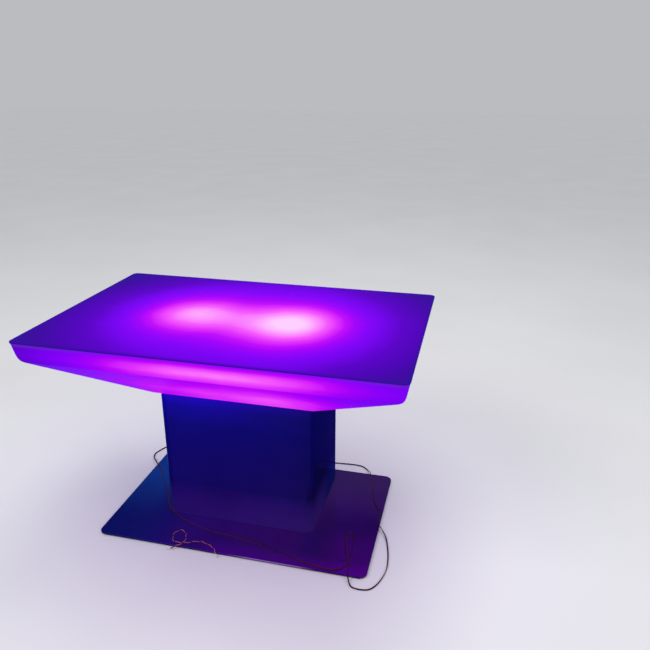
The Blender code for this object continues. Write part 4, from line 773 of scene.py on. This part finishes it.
def lathed(bm, profile, axes, sides=40):
    """A turned form from its profile of radius and height along the axes' Z."""
    rings = []
    for radius, height in profile:
        rings.append(outline_at(bm, axes, circle(radius, sides if radius else 1), height))
    for one, two in zip(rings, rings[1:]):
        for i in range(sides):
            after = i + 1
            corners = (one[i % len(one)], one[after % len(one)], two[after % len(two)], two[i % len(two)])
            corners = list(dict.fromkeys(corners))
            if len(corners) > 2:
                bm.faces.new(corners)


def turned(name, profile, axes, slot, *replaced, sides=40, **settings):
    """A piece that is one turned form."""
    bm = bmesh.new()
    lathed(bm, profile, axes, sides)
    return piece(name, bm, slot, *replaced, **settings)


def screw(bm, axes, radius, height, cross=True):
    """A pan head with a driver's recess, a cross or a slot."""
    lathed(bm, [(wide * radius, high * height) for wide, high in SCREW_HEAD], axes, SCREW_SIDES)
    narrow, reach, deep = 0.12 * radius, 0.5 * radius, 0.4 * height
    if cross:
        corner, repeats = [(reach, -narrow), (reach, narrow), (narrow, narrow)], 4
    else:
        corner, repeats = [(0.6 * radius, narrow), (-0.6 * radius, narrow)], 2
    recess = []
    for k in range(repeats):
        turn = Matrix.Rotation(k * 2 * pi / repeats, 2)
        recess += [turn @ Vector(point) for point in corner]
    brim = outline_at(bm, axes, circle(SCREW_HEAD[-1][0] * radius, SCREW_SIDES), height)
    edge = outline_at(bm, axes, recess, height)
    floor = outline_at(bm, axes, [(0.8 * x, 0.8 * y) for x, y in recess], height - deep)
    loops = []
    for loop in (brim, edge):
        loops += [bm.edges.new((a, b)) for a, b in zip(loop, loop[1:] + loop[:1])]
    bmesh.ops.triangle_fill(bm, edges=loops, use_beauty=True)
    for i in range(len(edge)):
        after = (i + 1) % len(edge)
        bm.faces.new((edge[i], edge[after], floor[after], floor[i]))
    bm.faces.new(floor)


def screws(name, slot, spots, radius, height, cross=True):
    """One piece of equal screws, each at its place, looking up and turned its own way."""
    bm = bmesh.new()
    for place, turn in spots:
        screw(bm, facing(place, UP) @ Matrix.Rotation(turn, 4, "Z"), radius, height, cross)
    piece(name, bm, slot)


def ridge(bm, axes, length, width, height, ripple=0.0, pitch=0.0):
    """A low rounded bar along the axes' X, with ends that run out; a weld's ripples where asked."""
    count = max(int(length / pitch * 4), 1) if pitch else 1
    fade = min(width / 2, length / 4)
    run_out = [fade * (1 - cos(pi * k / 8)) for k in range(5)]
    straight = [-length / 2 + fade + (length - 2 * fade) * k / count for k in range(count + 1)]
    stations = set(straight)
    for step in run_out:
        stations |= {-length / 2 + step, length / 2 - step}
    turns = [pi * i / RIDGE_SIDES for i in range(RIDGE_SIDES + 1)]
    rings = []
    for x in sorted(stations):
        near_end = min(length / 2 - abs(x), fade) / fade
        swell = max(1 - (1 - near_end) ** 2, 0.0) ** 0.5
        rippled = 1 + ripple * sin(2 * pi * x / pitch) if pitch else 1
        high, wide = height * swell * rippled, width / 2 * swell
        rings.append([bm.verts.new(axes @ Vector((x, wide * cos(turn), high * sin(turn)))) for turn in turns])
    for one, two in zip(rings, rings[1:]):
        for i in range(RIDGE_SIDES):
            bm.faces.new((one[i], one[i + 1], two[i + 1], two[i]))
    bmesh.ops.remove_doubles(bm, verts=bm.verts, dist=0.0000001)


def on_surface(node, origin, direction):
    """Where a line first meets a CAD node, and the way that its surface faces there."""
    mesh = NODES[node].data
    tree = BVHTree.FromPolygons([v.co for v in mesh.vertices], [list(f.vertices) for f in mesh.polygons])
    place, normal, _, _ = tree.ray_cast(Vector(origin), Vector(direction))
    return place, normal


def make_lead():
    """The supply lead, whose two cores lie side by side at the column's front, with what is on it."""
    run = curve_through([LEAD_EXIT] + LEAD_ROUTE + coil_points()[:1], RUN_STEPS)
    coil = curve_through(coil_points(), COIL_STEPS)
    tail = curve_through(coil_points()[-1:] + tail_points(), TAIL_CURVE_STEPS)
    line = np.vstack([run, coil[1:], tail[1:]])
    cores = (MATERIALS["lead_sheath"], LEAD_RED)
    nearest = np.argmin(np.linalg.norm(line[:, :2] - LEAD_SIDE_BY_SIDE, axis=1))
    before = np.linalg.norm(np.diff(line[:nearest + 1], axis=0), axis=1).sum()
    start = LEAD_TURN - 2 * pi * before / LEAD_TWIST
    lead = strands("supply_lead", line, CORE_RADIUS, CORE_OFFSET, LEAD_TWIST, cores, start=start)
    settle(lead, "lead_sheath", "lead_run", "lead_coil", "lead_tail")
    on_lead = [
        dressed("cable_grommet"), dressed("coil_tie"), dressed("adapter_housing", material=MOULDED_CASE),
        adapter_sleeve(), dressed("adapter_pin_left"), dressed("adapter_pin_right"),
    ]


def make_offcut():
    """The loose twisted offcut with its bare tips."""
    path = curve_through(OFFCUT_ROUTE, OFFCUT_STEPS)
    materials = (MATERIALS["offcut_sheath"], PINK, BARE_COPPER)
    offcut = strands("twisted_offcut", path, STRAND_RADIUS, STRAND_RADIUS, STRAND_TWIST, materials, BARE_TIP)
    settle(offcut, "offcut_sheath", "wire_offcut")


def ribs(count, thick, thinner, low, pitch, corners):
    """The profile of ribs that grow thinner; a rib's corners lie this far inward and along."""
    found = []
    for rib in range(count):
        found += [(thick - thinner * rib - inward, low + pitch * rib + along) for inward, along in corners]
    return found


def adapter_sleeve():
    """The ribbed strain relief on the power supply."""
    profile = [(0.0, 0.0), (0.0051, 0.0), (0.0052, 0.0082)]
    corners = ((0.0, 0.0), (0.0, 0.0014), (0.0009, 0.0018), (0.001, 0.003))
    profile += ribs(4, 0.0049, 0.00038, 0.0092, 0.0032, corners)
    profile += [(0.0032, 0.0225), (0.0029, 0.0236), (0.0024, 0.0237), (0.0024, 0.0225), (0.0, 0.0225)]
    start = (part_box("adapter_sleeve")[0].x, COIL_FRONT_Y, ADAPTER_LEAD_Z)
    return turned("adapter_sleeve_skin", profile, facing(start, (1.0, 0.0, 0.0)), "rubber", "adapter_sleeve")


# How nodes' names start that are made apart, and those with softened edges, with the edges' width
MADE_APART = (
    "lead_run", "lead_coil", "lead_tail", "wire_offcut", "cable_grommet", "coil_tie", "adapter_",
    "lamp_wire_", "heat_sink_", "lens_", "tray_screw_", "pad_",
)
EDGES = {
    ("controller_lid", "rocker", "lead_clip_"): 0.0004,
    ("terminal_block", "remote_eye", "head_"): 0.0003,
}


def make_dressed_nodes():
    """Every other CAD node in its own form."""
    for node in sorted(NODES):
        if not node.startswith(MADE_APART):
            dressed(node, next((width for starts, width in EDGES.items() if node.startswith(starts)), 0.0))


# Lamps, controller and what they stand on; a screw has its head's radius and height
TRAY_TOP = 0.5625
TRAY_SCREW_RADIUS = 0.004
TRAY_SCREW_CLEAR = 0.0003
LID_TOP = 0.5881
LID_SCREW = (0.0034, 0.0016)
LID_SCREW_INSET = 0.007
WIRE_Z = 0.5685
WIRE_BOW = 0.012
WIRE_CLEAR = 0.0004
WIRE_POINTS = 33
WIRE_CORE_RADIUS = 0.00105
WIRE_CORE_OFFSET = 0.00095
WIRE_TWIST = 0.016
SINK_CORE_RADIUS = 0.034
SINK_FOOT = 0.004
SINK_CHAMFER = 0.0003
FINS = 4
FIN_PITCH = 0.005
FIN_THICK = 0.0022
LENS_WALL = 0.002
LENS_SPHERE = 0.0416667
LENS_SPHERE_Z = -0.0116667
LENS_FOOT_OUTSIDE = 16.26
LENS_FOOT_INSIDE = 17.1
LENS_RING_RADIUS = 0.0433
LENS_RING_TOP = 0.0011
RING_SCREW = (0.0016, 0.0009)
RING_SCREWS = 3
LAMP_SIDES = 96
TERMINAL_PITCH = 0.009
TERMINAL_SCREW = (0.002, 0.0016)
TERMINAL_SUNK = 0.0024
FEED_START = (0.0075, 0.576)
FEED_END = (-0.006, 0.5745)
FEED_SAG = 0.0018
FEED_POINTS = 13
FEED_CORE = 0.0011
PILOT_X = CONTROLLER_X + 0.028
LID_RIB = (0.03, 0.0022, 0.0007)
LID_RIBS = 7
LID_RIB_PITCH = 0.007
LID_RIBS_X = CONTROLLER_X - 0.012
DOME_RADIUS = 0.0041


def disc_edge(top, below):
    """The outer edge of a heat sink's disc, with small chamfers."""
    inner = SINK_RADIUS - SINK_CHAMFER
    outer = [(SINK_RADIUS, top - SINK_CHAMFER), (SINK_RADIUS, below + SINK_CHAMFER)]
    return [(inner, top), *outer, (inner, below)]


def make_heat_sink(side, x):
    """A turned heat sink with fins over a foot."""
    low, high = (corner.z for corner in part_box(f"heat_sink_{side}"))
    profile = [(0.0, high)]
    for fin in range(FINS):
        top = high - FIN_PITCH * fin
        below = top - FIN_THICK
        profile += disc_edge(top, below) + [(SINK_CORE_RADIUS, below), (SINK_CORE_RADIUS, top - FIN_PITCH)]
    profile += disc_edge(low + SINK_FOOT, low) + [(0.0, low)]
    axes = Matrix.Translation((x, LAMP_Y, 0.0))
    turned(f"heat_sink_{side}_skin", profile, axes, "aluminium", f"heat_sink_{side}", sides=LAMP_SIDES)


def arc(radius, start, end, points, centre=0.0):
    """Points on a sphere between two angles, as radius and height; its centre lies at a height."""
    turns = np.linspace(radians(start), radians(end), points)
    return [(radius * cos(turn), centre + radius * sin(turn)) for turn in turns]


def make_lens(side, axes):
    """A frosted dome of even wall, with a flange at its foot."""
    inside = LENS_SPHERE - LENS_WALL
    outer_dome = arc(LENS_SPHERE, 90.0, LENS_FOOT_OUTSIDE, 25, LENS_SPHERE_Z)
    profile = [(0.0, LENS_SPHERE_Z + LENS_SPHERE)] + outer_dome[1:]
    profile += [(0.0427, 0.0), (0.043, -0.0003), (0.043, -0.002), (0.0379, -0.002)]
    inner_dome = arc(inside, LENS_FOOT_INSIDE, 90.0, 17, LENS_SPHERE_Z)
    profile += inner_dome[:-1] + [(0.0, LENS_SPHERE_Z + inside)]
    turned(f"lens_{side}_skin", profile, axes, "lens_plastic", f"lens_{side}", sides=LAMP_SIDES)


def make_lens_ring(side, axes):
    """The ring that holds the lens by its flange, with its screws."""
    profile = [
        (0.0434, -0.0021), (0.0454, -0.0021), (0.0456, -0.0018), (0.0456, 0.0006), (0.045, 0.0012),
        (0.0414, 0.0012), (0.0409, 0.0007), (0.0409, 0.0003), (0.0434, 0.0003), (0.0434, -0.0021),
    ]
    turned(f"lens_ring_{side}", profile, axes, "aluminium", sides=LAMP_SIDES)
    spots = []
    for k in range(RING_SCREWS):
        turn = 2 * pi * k / RING_SCREWS + 0.5
        spot = (LENS_RING_RADIUS * cos(turn), LENS_RING_RADIUS * sin(turn), LENS_RING_TOP)
        spots.append((axes @ Vector(spot), turn))
    screws(f"ring_screws_{side}", "zinc", spots, *RING_SCREW)


def make_lamp_wire(side, sign):
    """Two cores in a bow from the controller to the heat sink, and the gland where they leave it."""
    start, end = CONTROLLER_HALF.x + WIRE_CLEAR, LAMP_SPACING / 2 - SINK_RADIUS - WIRE_CLEAR
    points = []
    for share in np.linspace(0.0, 1.0, WIRE_POINTS):
        bow = WIRE_BOW * (1 - cos(2 * pi * share)) / 2
        points.append((CONTROLLER_X + sign * (start + (end - start) * share), LAMP_Y - bow, WIRE_Z))
    cores = (WIRE_RED, WIRE_BLACK)
    name = f"lamp_wire_{side}"
    wire = strands(f"{name}_skin", np.array(points), WIRE_CORE_RADIUS, WIRE_CORE_OFFSET, WIRE_TWIST, cores)
    settle(wire, "black_plastic", name)
    profile = [
        (0.0052, -0.001), (0.0052, 0.0012), (0.0046, 0.0016), (0.0046, 0.0026), (0.004, 0.003),
        (0.004, 0.004), (0.0034, 0.0044), (0.0032, 0.0062), (0.0026, 0.0066), (0.0, 0.0066),
    ]
    wall = (CONTROLLER_X + sign * CONTROLLER_HALF.x, LAMP_Y, WIRE_Z)
    turned(f"wire_gland_{side}", profile, facing(wall, (sign, 0.0, 0.0)), "black_plastic")


def make_lamps():
    """Both lamps, each with its wire."""
    for side, sign in (("left", -1), ("right", 1)):
        x = CONTROLLER_X + sign * LAMP_SPACING / 2
        make_heat_sink(side, x)
        seat = Matrix.Translation((x, LAMP_Y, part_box(f"lens_{side}")[0].z + LENS_WALL))
        make_lens(side, seat)
        make_lens_ring(side, seat)
        make_lamp_wire(side, sign)


def make_lid_screws():
    """A screw near each corner of the controller's lid, each turned another way."""
    spots = []
    for i in (-1, 1):
        for j in (-1, 1):
            x = CONTROLLER_X + i * (CONTROLLER_HALF.x - LID_SCREW_INSET)
            y = CONTROLLER_Y + j * (CONTROLLER_HALF.y - LID_SCREW_INSET)
            spots.append(((x, y, LID_TOP), 0.4 * i + 0.9 * j))
    screws("lid_screws", "zinc", spots, *LID_SCREW)


def make_tray_screws():
    """The screws that hold the tray, with the shanks that enter the hull's posts."""
    for place in CORNERS:
        low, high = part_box(f"tray_screw_{place}")
        x, y, _ = middle(f"tray_screw_{place}")
        head_z = TRAY_TOP + TRAY_SCREW_CLEAR
        tip = low.z - head_z
        axes = facing((x, y, head_z), UP) @ Matrix.Rotation(9 * x, 4, "Z")
        bm = bmesh.new()
        screw(bm, axes, TRAY_SCREW_RADIUS, high.z - head_z)
        lathed(bm, [(0.0, tip), (0.0019, tip + 0.0004), (0.0021, 0.0)], axes, 16)
        piece(f"tray_screw_{place}_skin", bm, "zinc", f"tray_screw_{place}")


def make_terminals():
    """The terminal block's slotted screws, and the short feed from it to the controller."""
    y, top = middle("terminal_block").y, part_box("terminal_block")[1].z
    spots = [((CONTROLLER_X + i * TERMINAL_PITCH, y, top - TERMINAL_SUNK), 0.5 + i) for i in (-1, 0, 1)]
    screws("terminal_screws", "nickel", spots, *TERMINAL_SCREW, cross=False)
    points = []
    for share in np.linspace(0.0, 1.0, FEED_POINTS):
        y, z = (start + (end - start) * share for start, end in zip(FEED_START, FEED_END))
        points.append((CONTROLLER_X + TERMINAL_PITCH / 2, y, z - FEED_SAG * sin(pi * share)))
    feed = strands("terminal_feed", np.array(points), FEED_CORE, FEED_CORE, 0.5, (WIRE_RED, WIRE_BLACK))
    settle(feed, "black_plastic")


def make_lid_details():
    """The pilot light in its ring, and the ribs on the controller's lid."""
    axes = facing((PILOT_X, CONTROLLER_Y, LID_TOP), UP)
    ring = [(0.003, -0.0002), (0.003, 0.0005), (0.0024, 0.0008), (0.002, 0.0004)]
    turned("pilot_ring", ring, axes, "nickel")
    dome = [(0.0021, 0.0), (0.0021, 0.0006), (0.0016, 0.0013), (0.0008, 0.0017), (0.0, 0.0018)]
    turned("pilot_light", dome, axes, "lens_plastic", material=PILOT_GREEN)
    bm = bmesh.new()
    for k in range(LID_RIBS):
        x = LID_RIBS_X + LID_RIB_PITCH * (k - LID_RIBS // 2)
        across = facing((x, CONTROLLER_Y, LID_TOP), UP) @ Matrix.Rotation(pi / 2, 4, "Z")
        ridge(bm, across, *LID_RIB)
    piece("lid_ribs", bm, "black_plastic")


def make_receiver_dome():
    """The dark dome on the remote control's eye."""
    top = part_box("remote_eye")[1].z
    x, y, _ = middle("remote_eye")
    profile = arc(DOME_RADIUS, 0.0, 90.0, 9)[:-1] + [(0.0, DOME_RADIUS)]
    axes = Matrix.Translation((x, y, top - DOME_RADIUS + 0.0001))
    turned("receiver_dome", profile, axes, "black_plastic", material=DARK_GLASS)


# What is behind the column; a ridge has its length, width and height, and the weld its ripples too
WELD_X = 0.12
WELD_MIDDLE_Z = 0.24625
WELD = (0.47, 0.0034, 0.00045, 0.3, 0.0026)
SWITCH_X = -0.06
SWITCH_Z = 0.056
MARK_RISE = 0.0058
MARK_BAR = (0.0046, 0.001, 0.00025)
BOOT_Y = 0.2312
GRIPS = 5
GRIP = (0.026, 0.0022, 0.0007)
GRIP_INSET = 0.006
GRIP_PITCH = 0.005
ADAPTER_SCREW = (0.0024, 0.001)
ADAPTER_SCREW_INSET = 0.007


def make_weld():
    """The weld that closes the column's sheet, up its back."""
    upright = Matrix(((0.0, 1.0, 0.0), (0.0, 0.0, 1.0), (1.0, 0.0, 0.0))).to_4x4()
    axes = Matrix.Translation((WELD_X, COLUMN_BACK, WELD_MIDDLE_Z)) @ upright
    bm = bmesh.new()
    ridge(bm, axes, *WELD)
    piece("column_weld", bm, "column_steel")


def make_switch_marks():
    """A raised bar on the rocker's upper half, and a raised ring on its lower half."""
    upper, lower = (
        facing(*on_surface("rocker", (SWITCH_X, 0.3, SWITCH_Z + rise), (0.0, -1.0, 0.0)))
        for rise in (MARK_RISE, -MARK_RISE)
    )
    bm = bmesh.new()
    turn = pi / 2 if abs(upper[2][1]) > 0.5 else 0.0
    ridge(bm, upper @ Matrix.Rotation(turn, 4, "Z"), *MARK_BAR)
    piece("switch_mark_on", bm, "white_plastic", body="rocker", material=MARK_WHITE)
    ring = [(0.0015, -0.0001), (0.0015, 0.0002), (0.0017, 0.00025)]
    ring += [(0.0022, 0.00025), (0.0024, 0.0002), (0.0024, -0.0001)]
    turned("switch_mark_off", ring, lower, "white_plastic", body="rocker", material=MARK_WHITE)


def make_lead_boot():
    """The ribbed boot where the lead leaves the column."""
    profile = [(0.0078, 0.0), (0.0078, 0.0014), (0.0068, 0.0022)]
    corners = ((0.001, -0.0008), (0.0, -0.0002), (0.0, 0.0012), (0.001, 0.0018))
    profile += ribs(4, 0.0062, 0.00075, 0.0034, 0.0034, corners)
    profile += [(0.0029, 0.018), (0.0024, 0.0182), (0.0, 0.0175)]
    turned("lead_boot", profile, facing((LEAD_EXIT[0], BOOT_Y, LEAD_EXIT[2]), (0.0, 1.0, -0.02)), "rubber")


def make_adapter_details():
    """Grips on the power supply's left end, screws in its back and its light on top."""
    low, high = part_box("adapter_housing")
    sideways = Matrix(((0.0, 0.0, -1.0), (0.0, 1.0, 0.0), (1.0, 0.0, 0.0))).to_4x4()
    bm = bmesh.new()
    for k in range(GRIPS):
        spot = (low.x, low.y + GRIP_INSET + GRIP_PITCH * k, (low.z + high.z) / 2)
        ridge(bm, Matrix.Translation(spot) @ sideways, *GRIP)
    piece("adapter_grips", bm, "black_plastic", material=MOULDED_CASE)
    bm = bmesh.new()
    for x in (low.x + ADAPTER_SCREW_INSET, high.x - ADAPTER_SCREW_INSET):
        for z in (low.z + ADAPTER_SCREW_INSET, high.z - ADAPTER_SCREW_INSET):
            screw(bm, facing((x, high.y - 0.0004, z), (0.0, 1.0, 0.0)), *ADAPTER_SCREW)
    piece("adapter_screws", bm, "zinc")
    axes = facing((high.x - 0.014, (low.y + high.y) / 2 - 0.006, high.z), UP)
    profile = [(0.0018, -0.0004), (0.0018, 0.0002), (0.0013, 0.0006), (0.0, 0.0008)]
    turned("adapter_light", profile, axes, "lens_plastic", material=PILOT_GREEN)


# What is below: the grooves in the pads' tread, as shares of the radius, their screws, and the hull's vent
GROOVES = (0.86, 0.74, 0.62)
GROOVE_SHARE = 0.05
PAD_SCREW_RADIUS = 0.0048
PAD_SIDES = 64
BELOW_VENT = (-0.34, 0.2, 0.3)


def make_pads():
    """Round rubber pads with grooves in their tread and a screw in the middle."""
    for place in CORNERS:
        low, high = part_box(f"pad_{place}")
        x, y, _ = middle(f"pad_{place}")
        radius, thick = half_size(f"pad_{place}").x, high.z - low.z
        axes = facing((x, y, high.z), (0.0, 0.0, -1.0))
        deep, hollow = 0.6 * thick, 0.35 * thick
        profile = [(0.0, 0.0), (0.97 * radius, 0.0), (radius, 0.0004), (radius, deep), (0.95 * radius, thick)]
        for share in GROOVES:
            outer, inner = share * radius, (share - GROOVE_SHARE) * radius
            profile += [(outer, thick), (outer - 0.0003, deep), (inner, deep), (inner - 0.0003, thick)]
        profile += [(0.4 * radius, thick), (0.36 * radius, hollow), (0.0, hollow)]
        turned(f"pad_{place}_skin", profile, axes, "rubber", f"pad_{place}", sides=PAD_SIDES)
        bm = bmesh.new()
        screw(bm, axes @ Matrix.Translation((0.0, 0.0, hollow)), PAD_SCREW_RADIUS, thick / 2)
        piece(f"pad_screw_{place}", bm, "zinc")


def make_plug():
    """The plug that closes the mould's vent in the hull's underside."""
    place, normal = on_surface("hull", BELOW_VENT, UP)
    profile = [
        (0.013, -0.0002), (0.013, 0.0007), (0.0122, 0.0012), (0.0095, 0.0012), (0.0088, 0.0005),
        (0.0035, 0.0005), (0.0028, 0.0011), (0.0, 0.0013),
    ]
    turned("vent_plug", profile, facing(place, normal), "opal_hull")


# Studio: the floor, the room's light, and lights with their place, size and power
FLOOR_HALF = 30.0
FLOOR_TONES = [(0.3, (0.66, 0.66, 0.675, 1.0)), (0.7, (0.69, 0.69, 0.705, 1.0))]
ROOM_COLOUR = (0.8, 0.81, 0.84, 1.0)
ROOM_STRENGTH = 0.62
LIGHTS = (
    ("key", (-2.2, -2.4, 3.2), 2.4, 60.0),
    ("fill", (2.8, -1.4, 2.2), 2.0, 24.0),
    ("back", (0.4, 1.7, 4.3), 2.4, 44.0),
)
LIGHT_AIM = (0.0, 0.0, 0.35)
OVERHEAD_ENERGY = 0.7
OVERHEAD_DEGREES = 50.0


def make_floor():
    """A pale floor without marks."""
    corners = [(x * FLOOR_HALF, y * FLOOR_HALF, 0.0) for x, y in ((-1, -1), (1, -1), (1, 1), (-1, 1))]
    mesh = bpy.data.meshes.new("floor")
    mesh.from_pydata(corners, [], [(0, 1, 2, 3)])
    tree = Tree("studio_floor")
    tree.set(Base_Color=tree.ramp(tree.noise(1.5, 3.0, 0.5), FLOOR_TONES))
    tree.set(Roughness=tree.spread(tree.noise(20.0), 0.55, 0.65))
    tree.set(Normal=tree.bump(tree.noise(500.0), 0.0001, 0.2))
    mesh.materials.append(tree.material)
    floor = link(bpy.data.objects.new("floor", mesh))


def make_light():
    """A pale room and soft lights."""
    world = bpy.data.worlds.new("pale room")
    bpy.context.scene.world = world
    world.use_nodes = True
    background = world.node_tree.nodes["Background"]
    background.inputs["Color"].default_value = ROOM_COLOUR
    background.inputs["Strength"].default_value = ROOM_STRENGTH
    for name, place, size, power in LIGHTS:
        data = bpy.data.lights.new(name, "AREA")
        data.shape = "DISK"
        data.size = size
        data.energy = power
        lamp = link(bpy.data.objects.new(name, data))
        lamp.location = place
        aim = Vector(LIGHT_AIM) - Vector(place)
        lamp.rotation_euler = aim.to_track_quat("-Z", "Y").to_euler()
    sun = bpy.data.lights.new("overhead", "SUN")
    sun.energy = OVERHEAD_ENERGY
    sun.angle = radians(OVERHEAD_DEGREES)
    link(bpy.data.objects.new("overhead", sun))
    bpy.context.scene.view_settings.view_transform = "Standard"


make_camera()
make_lead()
make_offcut()
make_dressed_nodes()
make_lamps()
make_lid_screws()
make_tray_screws()
make_terminals()
make_lid_details()
make_receiver_dome()
make_weld()
make_switch_marks()
make_lead_boot()
make_adapter_details()
make_pads()
make_plug()
make_floor()
make_light()

bpy.context.view_layer.update()
